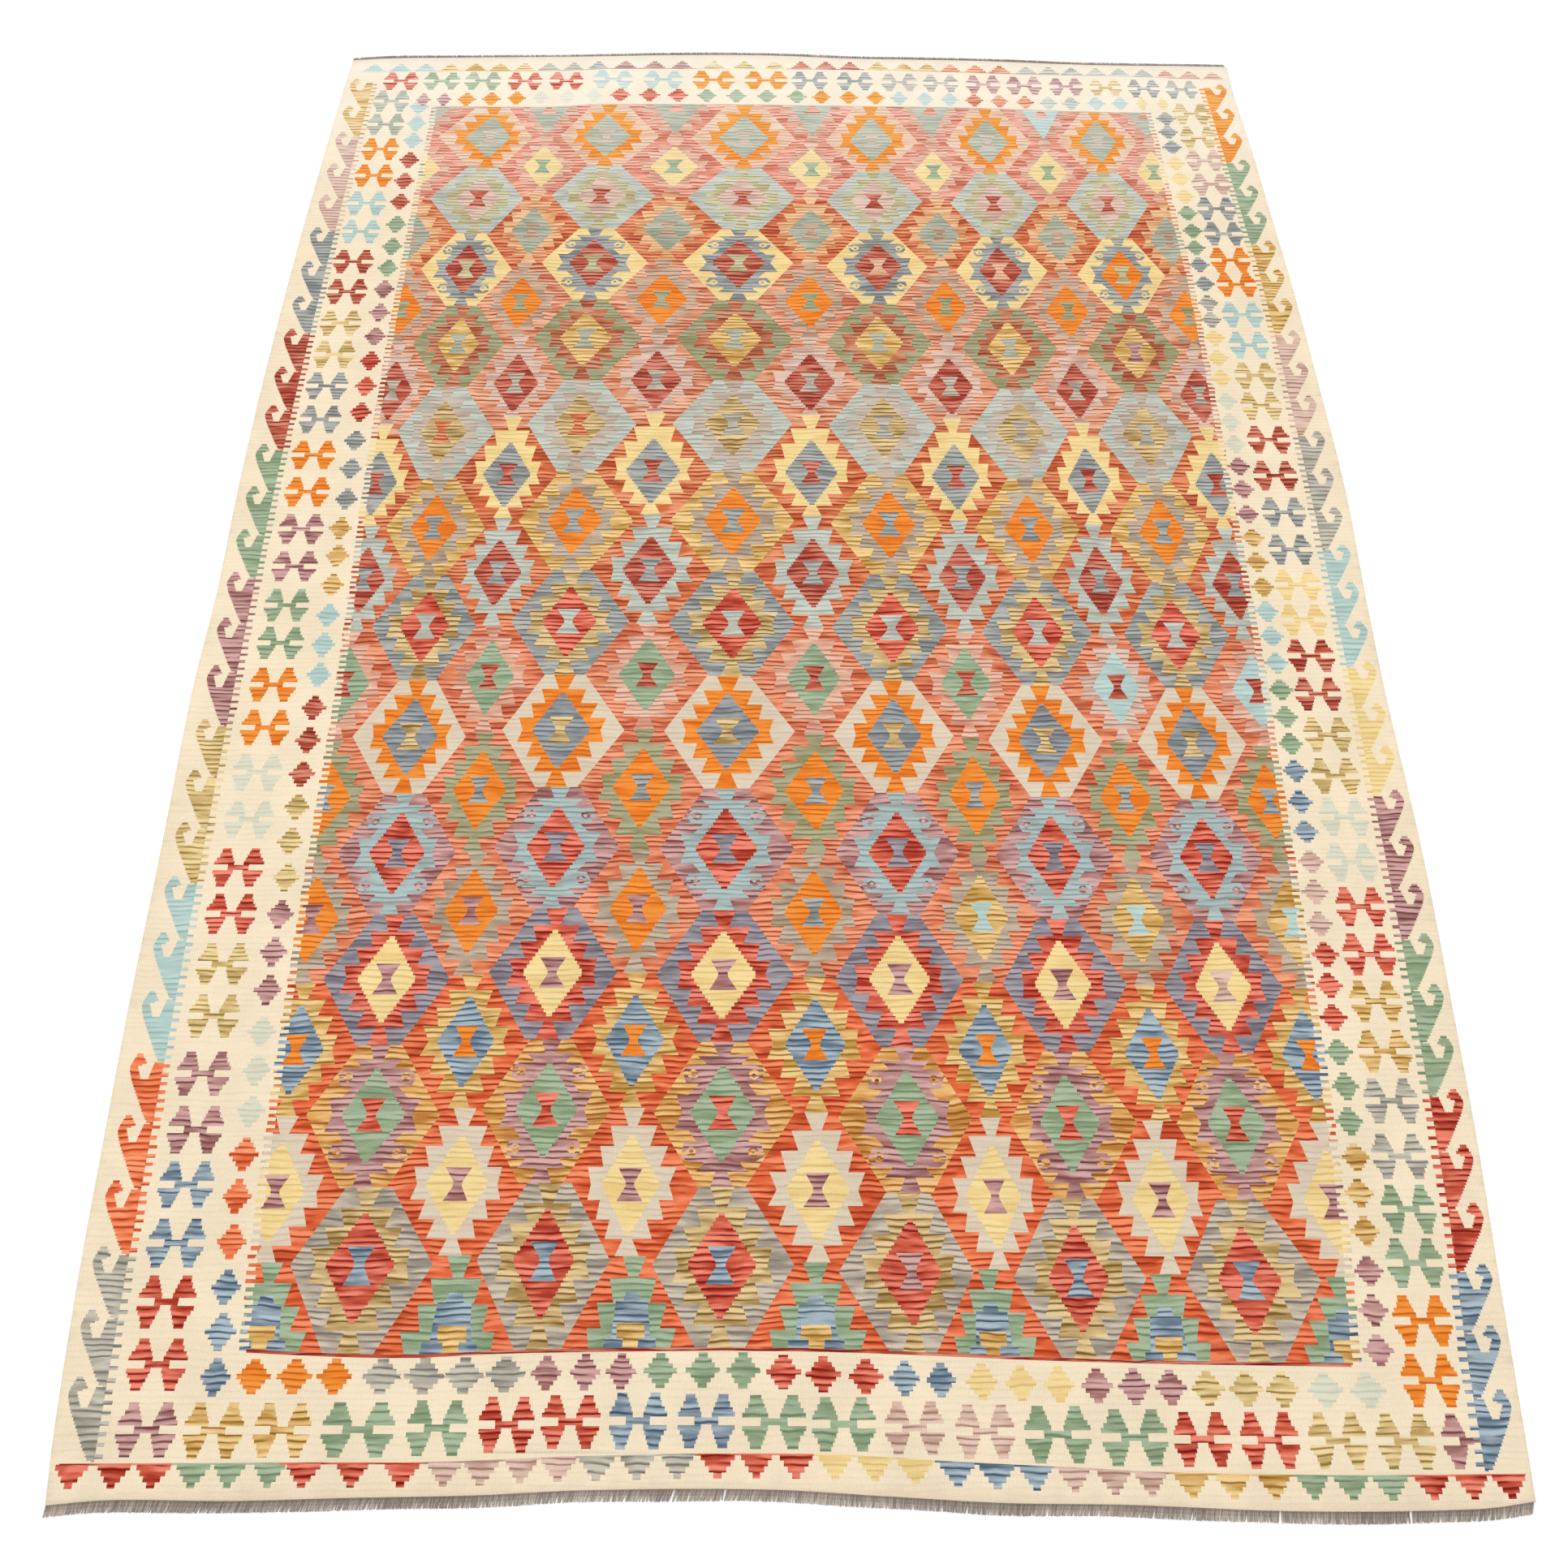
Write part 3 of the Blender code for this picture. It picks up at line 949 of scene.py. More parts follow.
def draw_borders():
    """The four ivory borders with their hooks, butterflies, diamonds and triangles."""
    border_ground(LEFT_GUIDES, -1)
    border_ground(RIGHT_GUIDES, 1)
    end_ground(NEAR, -1)
    end_ground(FAR, 1)
    for end, below, first, last, thickness, dye in FIELD_LINES:
        thin_line(lambda x: field_edge(x, end) - below, first, last, thickness, dye)
    for side, guides, start, hooks, butterflies, diamonds, high in SIDE_BORDERS:
        hook_border(guides, side, hooks, start)
        side_motifs(guides, butterflies, BUTTERFLY_LINE, butterfly, BUTTERFLY_HALF, 1.0)
        side_motifs(guides, diamonds, DIAMOND_LINE, small_diamond, SMALL_DIAMOND_HALF, high)
    half_butterfly(*HALF_BUTTERFLY)
    end_triangles(NEAR_TRIANGLES, NEAR_LEVELS, -1, 1.0)
    end_triangles(FAR_TRIANGLES, FAR_LEVELS, 1, FAR_TRIANGLE_HIGH)
    end_motifs(NEAR_BUTTERFLIES, NEAR_LEVELS, BUTTERFLY_LEVEL, butterfly, 1.0)
    end_motifs(FAR_BUTTERFLIES, FAR_LEVELS, BUTTERFLY_LEVEL, butterfly, FAR_MOTIF_HIGH)
    end_motifs(NEAR_DIAMONDS, NEAR_LEVELS, DIAMOND_LEVEL, small_diamond, NEAR_DIAMOND_HIGH)
    end_motifs(FAR_DIAMONDS, FAR_LEVELS, DIAMOND_LEVEL, small_diamond, FAR_MOTIF_HIGH)


# -------------------- the sheet of cloth
def corner(side, end):
    """Meeting point of a long side and a short end."""
    y = between(ENDS, 0, end)
    for _ in range(CORNER_ROUNDS):
        x = between(SIDES, y, side)
        y = between(ENDS, x, end)
    return x, y


def edge_stations(first, last):
    """Even stations along one edge of the rug, without the last."""
    return [first + (last - first) * k / EDGE_COUNT for k in range(EDGE_COUNT)]


def outline(inset):
    """Ring of plan points along the rug's edge, counter-clockwise, set in by inset."""
    low_left, low_right = corner(LEFT, NEAR), corner(RIGHT, NEAR)
    high_right, high_left = corner(RIGHT, FAR), corner(LEFT, FAR)
    ring = [(x, between(ENDS, x, NEAR)) for x in edge_stations(low_left[0], low_right[0])]
    ring += [(between(SIDES, y, RIGHT), y) for y in edge_stations(low_right[1], high_right[1])]
    ring += [(x, between(ENDS, x, FAR)) for x in edge_stations(high_right[0], high_left[0])]
    ring += [(between(SIDES, y, LEFT), y) for y in edge_stations(high_left[1], low_left[1])]
    return inset_ring(ring, inset)


def inset_ring(ring, inset):
    """The ring moved inwards by inset, square to itself."""
    result = []
    for k, (x, y) in enumerate(ring):
        before = Vector(ring[k - 1])
        after = Vector(ring[(k + 1) % len(ring)])
        first = (Vector((x, y)) - before).normalized()
        second = (after - Vector((x, y))).normalized()
        mean = (first + second).normalized()
        stretch = 1 / max(mean.dot(first), CORNER_COSINE)
        result.append((x - mean.y * inset * stretch, y + mean.x * inset * stretch))
    return result


def ripple(x, y):
    """Height by which the cloth lifts off the floor, very gently, in millimetres."""
    across = math.sin(x / BROAD_WAVE[0] + BROAD_START[0])
    along = math.sin(y / BROAD_WAVE[1] + BROAD_START[1])
    slanting = math.sin(x / SLANTING_WAVE[0] - y / SLANTING_WAVE[1] + SLANTING_START)
    return RIPPLE_HEIGHT * max(0.0, across * along + SLANTING_SHARE * slanting) / (1 + SLANTING_SHARE)


def selvedge(x, y):
    """Extra height of the doubled outer warps along the long sides."""
    near_side = min(x - between(SIDES, y, LEFT), between(SIDES, y, RIGHT) - x)
    if near_side > SELVEDGE_WIDTH:
        return 0.0
    return SELVEDGE_RISE * math.sin(math.pi * max(near_side, SELVEDGE_FOOT) / SELVEDGE_WIDTH)


def plan_points():
    """Loose plan points that let the wide plain areas follow the ripple, and the selvedge its ridge."""
    points = []
    for i in range(-PLAN_COLUMNS, PLAN_COLUMNS + 1):
        for j in range(-PLAN_ROWS, PLAN_ROWS + 1):
            x = i * PLAN_GRID
            y = j * PLAN_GRID
            inside = between(SIDES, y, LEFT) + PLAN_SIDE < x < between(SIDES, y, RIGHT) - PLAN_SIDE
            if inside and between(ENDS, x, NEAR) + PLAN_END < y < between(ENDS, x, FAR) - PLAN_END:
                points.append((x, y))
    for j in range(-SELVEDGE_ROWS, SELVEDGE_ROWS + 1):
        y = j * SELVEDGE_STEP
        for inset in (SELVEDGE_WIDTH * 0.5, SELVEDGE_WIDTH):
            points.append((between(SIDES, y, LEFT) + inset, y))
            points.append((between(SIDES, y, RIGHT) - inset, y))
    return points


def drawn_chart(fine):
    """All the colour areas, with stepped outlines for the upper face and plain ones for the underside."""
    WOVEN.clear()
    FINE_STEPS[:] = [True] if fine else []
    rng.seed(SEED)
    draw_field()
    draw_borders()
    return list(WOVEN)


def cut_chart(chart):
    """Plan points of a chart, its triangles with their colour areas, and the points along its edge."""
    edge = outline(EDGE_ROUND)
    points = []
    faces = []
    for ring in [edge] + [ring for ring, dye, lot in chart]:
        start = len(points)
        points += [Vector((x * MM, y * MM)) for x, y in ring]
        faces.append(list(range(start, start + len(ring))))
    points += [Vector((x * MM, y * MM)) for x, y in plan_points()]
    cut = geometry.delaunay_2d_cdt(points, [], faces, INSIDE_ONLY, MERGE_DISTANCE, True)
    spots, _, triangles, origins, _, sources = cut
    kept = [(tuple(t), max(s)) for t, s in zip(triangles, sources) if 0 in s]
    place = {origin: k for k, group in enumerate(origins) for origin in group if origin < len(edge)}
    return [(p.x / MM, p.y / MM) for p in spots], kept, [place[k] for k in range(len(edge))]


def dye_colour(value):
    """Linear colour of one display value from 0 to 255."""
    value /= 255
    return value / 12.92 if value <= 0.04045 else ((value + 0.055) / 1.055) ** 2.4


def linear_colour(values):
    """Linear red, green and blue of three display values."""
    return [dye_colour(value) for value in values]


def smooth_mesh(name, vertices, faces):
    """Smooth-shaded mesh from vertices in millimetres and faces."""
    mesh = bpy.data.meshes.new(name)
    mesh.from_pydata([(x * MM, y * MM, z * MM) for x, y, z in vertices], [], faces)
    mesh.polygons.foreach_set("use_smooth", [True] * len(faces))
    return mesh


def paint(mesh, name, rows):
    """Colour attribute on the corners of the mesh, one row of four numbers for each face."""
    layer = mesh.color_attributes.new(name, "FLOAT_COLOR", "CORNER")
    totals = numpy.empty(len(mesh.polygons), dtype=numpy.int32)
    mesh.polygons.foreach_get("loop_total", totals)
    corners = numpy.repeat(numpy.array(rows, dtype=numpy.float32), totals, axis=0)
    layer.data.foreach_set("color", corners.ravel())


def woven_face(upper, vertices, faces, areas):
    """Adds one face of the cloth to the lists, and gives the vertices along its rim."""
    chart = drawn_chart(upper)
    plan, kept, rim = cut_chart(chart)
    start = len(vertices)
    lift = SHEET_THICKNESS if upper else 0.0
    vertices += [(x, y, ripple(x, y) + lift + (selvedge(x, y) if upper else 0.0)) for x, y in plan]
    faces += [tuple(start + i for i in (corners if upper else corners[::-1])) for corners, area in kept]
    areas += [PLAIN_CLOTH if area == 0 else chart[area - 1][1:] for corners, area in kept]
    return [start + i for i in rim]


def round_edge(upper_rim, lower_rim, vertices, faces, areas):
    """Adds the rounded edge that joins the two faces of the cloth, all the way round."""
    middle = []
    for x, y in outline(0.0):
        middle.append(len(vertices))
        vertices.append((x, y, ripple(x, y) + SHEET_THICKNESS * 0.5))
    count = len(middle)
    for k in range(count):
        n = (k + 1) % count
        faces.append((middle[k], middle[n], upper_rim[n], upper_rim[k]))
        faces.append((lower_rim[k], lower_rim[n], middle[n], middle[k]))
        areas += [PLAIN_CLOTH] * 2


def paint_dyes(mesh, areas):
    """Colour attributes of the cloth: yarn and lot; deep yarn, also the colour of painted shade, and how
    strongly it streaks; pale yarn, also the colour of painted highlights.
    """
    yarn, deep, pale = {}, {}, {}
    for dye, (colour, darker, paler, streaks) in DYES.items():
        yarn[dye] = linear_colour(colour)
        deep[dye] = linear_colour(darker) + [streaks]
        pale[dye] = linear_colour(paler) + [1.0]
    paint(mesh, "yarn", [yarn[dye] + [lot] for dye, lot in areas])
    paint(mesh, "deep_yarn_and_shade", [deep[dye] for dye, lot in areas])
    paint(mesh, "pale_yarn_and_highlight", [pale[dye] for dye, lot in areas])


def kilim_mesh():
    """Closed sheet of cloth with the chart woven through, alike on both faces."""
    vertices = []
    faces = []
    areas = []
    upper_rim = woven_face(True, vertices, faces, areas)
    lower_rim = woven_face(False, vertices, faces, areas)
    round_edge(upper_rim, lower_rim, vertices, faces, areas)
    mesh = smooth_mesh("kilim_sheet", vertices, faces)
    paint_dyes(mesh, areas)
    return mesh


# -------------------- cut warp ends
# Colours of each strand's root and tip, as display values.
WARP_ROOT = (120, 106, 96)
WARP_TIP = (200, 188, 178)
# A strand: pitch, radius and root in millimetres. Stations, taper, twist, bend and lean go by its length.
STRAND_PITCH = 1.5
STRAND_RADIUS = 1.1
STRAND_SIDES = 5
STRAND_STATIONS = (0.0, 0.3, 0.6, 0.85, 1.0)
STRAND_ROOT = 2.5
STRAND_ROOT_HEIGHT = 1.7
STRAND_TAPER = 0.15
STRAND_TWIST = 0.35
STRAND_BEND = 0.08
STRAND_LEAN = -0.22
STRAND_LEAN_WOBBLE = 0.06
# Slow waves along the fringe, in lean and in length: how much, and millimetres to a radian.
LEAN_WAVE, LEAN_WAVE_SPAN = 0.10, 90
REACH_WAVE, REACH_WAVE_SPAN = 0.03, 37
STRAND_LOWEST = 0.02
# How the strands differ: height of the tip, and shares of the radius, shade, length and pitch.
STRAND_TIP_HEIGHTS = (0.7, 1.1)
STRAND_THICKNESSES = (0.75, 1.15)
STRAND_SHADES = (0.6, 1.35)
STRAND_REACHES = (0.94, 1.0)
STRAND_SPACINGS = (0.75, 1.25)
# How much of the tip's colour shows at the tip of a strand of plain shade, and how far the shade counts.
TIP_SHARE = 0.75
SHADE_SHARE = 0.1
# First and last strand, in from the cloth's corners, and the full length past the cloth at each end.
FRINGE_INSET = 2
NEAR_LENGTH = 15.0
FAR_LENGTH = 10.6
# Gaps in the near fringe: x, half width.
NEAR_GAPS = ((-163, 1.5), (-95, 1.5), (652, 1.6), (828, 2.2))


def strand_tube(root, lean, length, way):
    """Points of one cut warp end, ring by ring, from inside the cloth's edge out along the floor."""
    x, y = root
    points = []
    bend = rng.uniform(-STRAND_BEND, STRAND_BEND) * length
    tip_height = rng.uniform(*STRAND_TIP_HEIGHTS)
    radius = STRAND_RADIUS * rng.uniform(*STRAND_THICKNESSES)
    for t in STRAND_STATIONS:
        cx = x + lean * length * t + bend * t * t
        cy = y + way * length * t
        cz = STRAND_ROOT_HEIGHT * (1 - t) + tip_height * t
        thin = radius * (1 - STRAND_TAPER * t)
        for k in range(STRAND_SIDES):
            angle = 2 * math.pi * (k / STRAND_SIDES + STRAND_TWIST * t)
            height = max(cz + thin * math.sin(angle), STRAND_LOWEST)
            points.append((cx + thin * math.cos(angle), cy, height))
    return points


def strand(vertices, faces, colours, root, lean, length, way):
    """Adds one cut warp end to the lists, darker at its root than at its tip."""
    start = len(vertices)
    vertices += strand_tube(root, lean, length, way)
    shade = rng.uniform(*STRAND_SHADES)
    light = 1 - SHADE_SHARE + SHADE_SHARE * shade
    rings = len(STRAND_STATIONS)
    for ring in range(rings - 1):
        tone = min(1.0, max(0.0, STRAND_STATIONS[ring + 1] * TIP_SHARE * shade))
        values = [(low + (high - low) * tone) * light for low, high in zip(WARP_ROOT, WARP_TIP)]
        colour = linear_colour(values) + [shade]
        for k in range(STRAND_SIDES):
            a = start + ring * STRAND_SIDES + k
            b = start + ring * STRAND_SIDES + (k + 1) % STRAND_SIDES
            face = (a, b, b + STRAND_SIDES, a + STRAND_SIDES)
            faces.append(face if way > 0 else face[::-1])
            colours.append(colour)
    first = tuple(range(start, start + STRAND_SIDES))
    last = tuple(range(start + (rings - 1) * STRAND_SIDES, start + rings * STRAND_SIDES))
    faces.append(first[::-1] if way > 0 else first)
    faces.append(last if way > 0 else last[::-1])
    colours.append(linear_colour(WARP_ROOT) + [shade])
    colours.append(linear_colour(WARP_TIP) + [shade])


def warp_ends(name, end, way, length, gaps):
    """Joined mesh of all the cut warp ends along one short side."""
    vertices, faces, colours = [], [], []
    x = corner(LEFT, end)[0] + FRINGE_INSET
    last = corner(RIGHT, end)[0] - FRINGE_INSET
    while x < last:
        if not any(abs(x - place) < width for place, width in gaps):
            y = between(ENDS, x, end) - way * STRAND_ROOT
            wobble = rng.uniform(-STRAND_LEAN_WOBBLE, STRAND_LEAN_WOBBLE)
            lean = STRAND_LEAN + LEAN_WAVE * math.sin(x / LEAN_WAVE_SPAN) + wobble
            reach = (length + STRAND_ROOT) * rng.uniform(*STRAND_REACHES)
            reach *= 1 - REACH_WAVE + REACH_WAVE * math.sin(x / REACH_WAVE_SPAN)
            strand(vertices, faces, colours, (x, y), lean, reach, way)
        x += STRAND_PITCH * rng.uniform(*STRAND_SPACINGS)
    mesh = smooth_mesh(name, vertices, faces)
    paint(mesh, "yarn", colours)
    return mesh


# -------------------- materials
def add_node(tree, kind, **settings):
    """A new shader node with its settings."""
    node = tree.nodes.new(kind)
    for name, value in settings.items():
        setattr(node, name, value)
    return node


def feed(tree, node, **values):
    """Sets or links a node's inputs by name, or by number as i0, i1; spaces in a name are written as _."""
    for name, value in values.items():
        numbered = name[0] == "i" and name[1:].isdigit()
        socket = node.inputs[int(name[1:]) if numbered else name.replace("_", " ")]
        if isinstance(value, bpy.types.NodeSocket):
            tree.links.new(value, socket)
        else:
            socket.default_value = value


def maths(tree, operation, first, second=None, clamp=False):
    """Result socket of one maths node."""
    node = add_node(tree, "ShaderNodeMath", operation=operation, use_clamp=clamp)
    feed(tree, node, i0=first)
    if second is not None:
        feed(tree, node, i1=second)
    return node.outputs[0]


def product(tree, first, second):
    """Result socket of a multiplication."""
    return maths(tree, "MULTIPLY", first, second)


def total(tree, first, second, clamp=False):
    """Result socket of an addition."""
    return maths(tree, "ADD", first, second, clamp)


def arch(tree, value):
    """Rounded hump that repeats once for each whole step of a value."""
    wave = maths(tree, "ABSOLUTE", maths(tree, "SINE", product(tree, value, math.pi)))
    return maths(tree, "POWER", wave, ARCH_ROUNDNESS)


def joined_vector(tree, x, y, z):
    """Vector socket from three values."""
    node = add_node(tree, "ShaderNodeCombineXYZ")
    feed(tree, node, X=x, Y=y, Z=z)
    return node.outputs[0]


def split_vector(tree, vector):
    """Sockets of the x and y of a vector."""
    node = add_node(tree, "ShaderNodeSeparateXYZ")
    feed(tree, node, Vector=vector)
    return node.outputs["X"], node.outputs["Y"]


def cloud(tree, vector, scale, detail=2.0, roughness=0.5):
    """Value socket of a noise texture."""
    node = add_node(tree, "ShaderNodeTexNoise")
    feed(tree, node, Vector=vector, Scale=scale, Detail=detail, Roughness=roughness)
    return node.outputs["Fac"]


def ranged(tree, value, low, high, out_low=0.0, out_high=1.0):
    """Value moved smoothly from one range to another."""
    node = add_node(tree, "ShaderNodeMapRange", interpolation_type="SMOOTHSTEP")
    feed(tree, node, Value=value, From_Min=low, From_Max=high, To_Min=out_low, To_Max=out_high)
    return node.outputs["Result"]


def blended(tree, factor, first, second, kind="MIX"):
    """Colour socket of two colours blended."""
    node = add_node(tree, "ShaderNodeMix", data_type="RGBA", blend_type=kind)
    feed(tree, node, i0=factor, i6=first, i7=second)
    return node.outputs[2]


def shaded(tree, colour, shade):
    """Colour socket of a colour made darker or lighter by a value."""
    return blended(tree, 1.0, colour, joined_vector(tree, shade, shade, shade), "MULTIPLY")


def attribute(tree, name):
    """Outputs of one of the mesh's colour attributes."""
    return add_node(tree, "ShaderNodeAttribute", attribute_name=name).outputs


def bumped(tree, height, distance):
    """Normal socket of a bump of a height."""
    bump = add_node(tree, "ShaderNodeBump")
    feed(tree, bump, Strength=RELIEF_STRENGTH, Distance=distance, Height=height)
    return bump.outputs["Normal"]


def object_place(tree):
    """Vector socket of the place on the piece, in metres."""
    return add_node(tree, "ShaderNodeTexCoord").outputs["Object"]


def new_group(name, inputs, outputs):
    """Shader node group with named sockets, and its inner input and output nodes."""
    tree = bpy.data.node_groups.new(name, "ShaderNodeTree")
    for socket, kind in inputs:
        tree.interface.new_socket(socket, in_out="INPUT", socket_type=kind)
    for socket, kind in outputs:
        tree.interface.new_socket(socket, in_out="OUTPUT", socket_type=kind)
    return tree, add_node(tree, "NodeGroupInput").outputs, add_node(tree, "NodeGroupOutput")


def use_group(tree, group, **values):
    """Outputs of a group placed in a material with its own values."""
    node = add_node(tree, "ShaderNodeGroup", node_tree=group)
    feed(tree, node, **values)
    return node.outputs


# Weave and streaks of the wool, with painted shade in the lines and grooves and painted highlights on the
# crests: lengths in metres, scales of the noise textures, and plain shares.
WARP_PITCH = 0.0036
BEAD_LENGTH = 0.0026
BEAD_DEPTH = 0.55
BEAD_FOOT = 0.45
BEAD_WANDER = 2.0
GROOVE_RANGE = (0.15, 0.6, 1.0, 0.0)
RIB_WANDER_SCALE = 22.0
ARCH_ROUNDNESS = 0.6
LINE_PITCH = 0.0094
BAND_DEPTH = 0.015
SWAY_HEIGHT = 0.012
SWAY_SCALE = (15.0, 11.0)
DRIFT_LINES = 3.0
DRIFT_SCALE = (1.5, 12.0)
LOT_SPREAD = 83.0
BAND_LOT_SHIFT = 31.7
STREAK_SCALE = (13.0, 7.3)
PAINTED_LINE_SHADE = 0.38
BAND_SHARE = 0.75
CREST_HIGHLIGHT_SHARE = 0.85
PAINTED_GROOVE_SHADE = 0.06
PATCH_SCALE = 9.0
PATCH_RANGE = (0.3, 0.7, -0.5, 0.5)
HAIR_SCALE = 420.0
HAIR_RANGE = (0.25, 0.75, -0.5, 0.5)
HAIR_SHADE = 0.08
HAIR_HEIGHT = 0.35
SWELL_HEIGHT = 0.8
CLOTH_RELIEF = 0.0006
WARP_HAIR_SCALE = 900.0
WARP_HAIR_SHADE = 0.35
WARP_RELIEF = 0.0003
RELIEF_STRENGTH = 0.5
# Where the lines of painted shade and the crests with painted highlights rise and fall, as parts of a line,
# and where streaks and bands set in, as values of their noise.
DARK_RISE, DARK_FALL = (0.02, 0.12), (0.46, 0.18)
CREST_RISE, CREST_FALL = (0.30, 0.52), (1.0, 0.60)
STREAK_RANGE = (0.34, 0.56)
DARK_BAND_RANGE, PALE_BAND_RANGE = (0.50, 0.66), (0.50, 0.36)
# Painted light: the colours are painted paler towards the far end: where along the rug, in metres, and how
# much.
PAINTED_LIGHT_START = 0.85
PAINTED_LIGHT_END = 1.5
PAINTED_LIGHT_GAMMA = 0.64


def spun_wool_group():
    """Hairs and thick-and-thin places of hand-spun wool."""
    tree, given, result = new_group(
        "spun_wool",
        (("Vector", "NodeSocketVector"), ("Hair Scale", "NodeSocketFloat")),
        (("Shade", "NodeSocketFloat"), ("Height", "NodeSocketFloat")),
    )
    hairs = cloud(tree, given["Vector"], given["Hair Scale"], 3.0, 0.6)
    patches = cloud(tree, given["Vector"], PATCH_SCALE, 3.0)
    fine_shade = ranged(tree, hairs, *HAIR_RANGE)
    broad_shade = ranged(tree, patches, *PATCH_RANGE)
    feed(tree, result, Shade=total(tree, fine_shade, broad_shade), Height=hairs)
    return tree


def weft_faced_group():
    """Ribs over the warps, each a column of beaten-down wefts that lie half a bead off the next rib's, and
    a mask of the grooves between the ribs, where the material paints shade.
    """
    tree, given, result = new_group(
        "weft_faced_weave",
        (("Vector", "NodeSocketVector"), ("Warp Pitch", "NodeSocketFloat"),
         ("Bead Length", "NodeSocketFloat")),
        (("Height", "NodeSocketFloat"), ("Groove", "NodeSocketFloat")),
    )
    x, y = split_vector(tree, given["Vector"])
    wander = maths(tree, "SUBTRACT", cloud(tree, given["Vector"], RIB_WANDER_SCALE, 1.0), 0.5)
    across = total(tree, maths(tree, "DIVIDE", x, given["Warp Pitch"]), wander)
    half_bead = product(tree, maths(tree, "FLOOR", across), 0.5)
    along = total(tree, maths(tree, "DIVIDE", y, given["Bead Length"]), half_bead)
    along = total(tree, along, product(tree, wander, BEAD_WANDER))
    bead = total(tree, product(tree, arch(tree, along), BEAD_DEPTH), BEAD_FOOT)
    height = product(tree, arch(tree, across), bead)
    feed(tree, result, Height=height, Groove=ranged(tree, height, *GROOVE_RANGE))
    return tree


def lot_place(tree, across, along, scale, lot):
    """Place in a noise texture, stretched across and along, and another for each lot."""
    return joined_vector(tree, product(tree, across, scale[0]), product(tree, along, scale[1]), lot)


def painted_ridges_and_lots_group():
    """Wavy lines of painted shade, each with a painted highlight on the crest above it, and blotches of
    other dye batches.
    """
    tree, given, result = new_group(
        "yarn_lots_and_painted_ridges",
        (("Vector", "NodeSocketVector"), ("Lot", "NodeSocketFloat"),
         ("Line Pitch", "NodeSocketFloat"), ("Band Depth", "NodeSocketFloat")),
        (("Lines", "NodeSocketFloat"), ("Crests", "NodeSocketFloat"),
         ("Dark Bands", "NodeSocketFloat"), ("Pale Bands", "NodeSocketFloat")),
    )
    x, y = split_vector(tree, given["Vector"])
    lot = product(tree, given["Lot"], LOT_SPREAD)
    sway = cloud(tree, lot_place(tree, x, y, SWAY_SCALE, lot), 1.0)
    level = total(tree, y, product(tree, maths(tree, "SUBTRACT", sway, 0.5), SWAY_HEIGHT))
    drift = product(tree, cloud(tree, lot_place(tree, x, y, DRIFT_SCALE, lot), 1.0, 1.0), DRIFT_LINES)
    phase = total(tree, maths(tree, "DIVIDE", level, given["Line Pitch"]), drift)
    line = maths(tree, "FLOOR", phase)
    part = maths(tree, "SUBTRACT", phase, line)
    streak = cloud(tree, lot_place(tree, x, line, STREAK_SCALE, lot), 1.0)
    strength = ranged(tree, streak, *STREAK_RANGE)
    # Masks of the lines of painted shade and of the painted highlights on the crests above them.
    dark = product(tree, ranged(tree, part, *DARK_RISE), ranged(tree, part, *DARK_FALL))
    crest = product(tree, ranged(tree, part, *CREST_RISE), ranged(tree, part, *CREST_FALL))
    band = maths(tree, "DIVIDE", level, given["Band Depth"])
    band_lot = total(tree, lot, BAND_LOT_SHIFT)
    bands = cloud(tree, joined_vector(tree, product(tree, x, STREAK_SCALE[0]), band, band_lot), 1.0)
    feed(tree, result, Lines=product(tree, dark, strength), Crests=product(tree, crest, strength))
    feed(tree, result, Dark_Bands=ranged(tree, bands, *DARK_BAND_RANGE))
    feed(tree, result, Pale_Bands=ranged(tree, bands, *PALE_BAND_RANGE))
    return tree


def new_material(name):
    """Empty node material with its Principled shader and output."""
    material = bpy.data.materials.new(name)
    material.use_nodes = True
    tree = material.node_tree
    tree.nodes.clear()
    shader = add_node(tree, "ShaderNodeBsdfPrincipled")
    output = add_node(tree, "ShaderNodeOutputMaterial")
    tree.links.new(shader.outputs["BSDF"], output.inputs["Surface"])
    return material, tree, shader


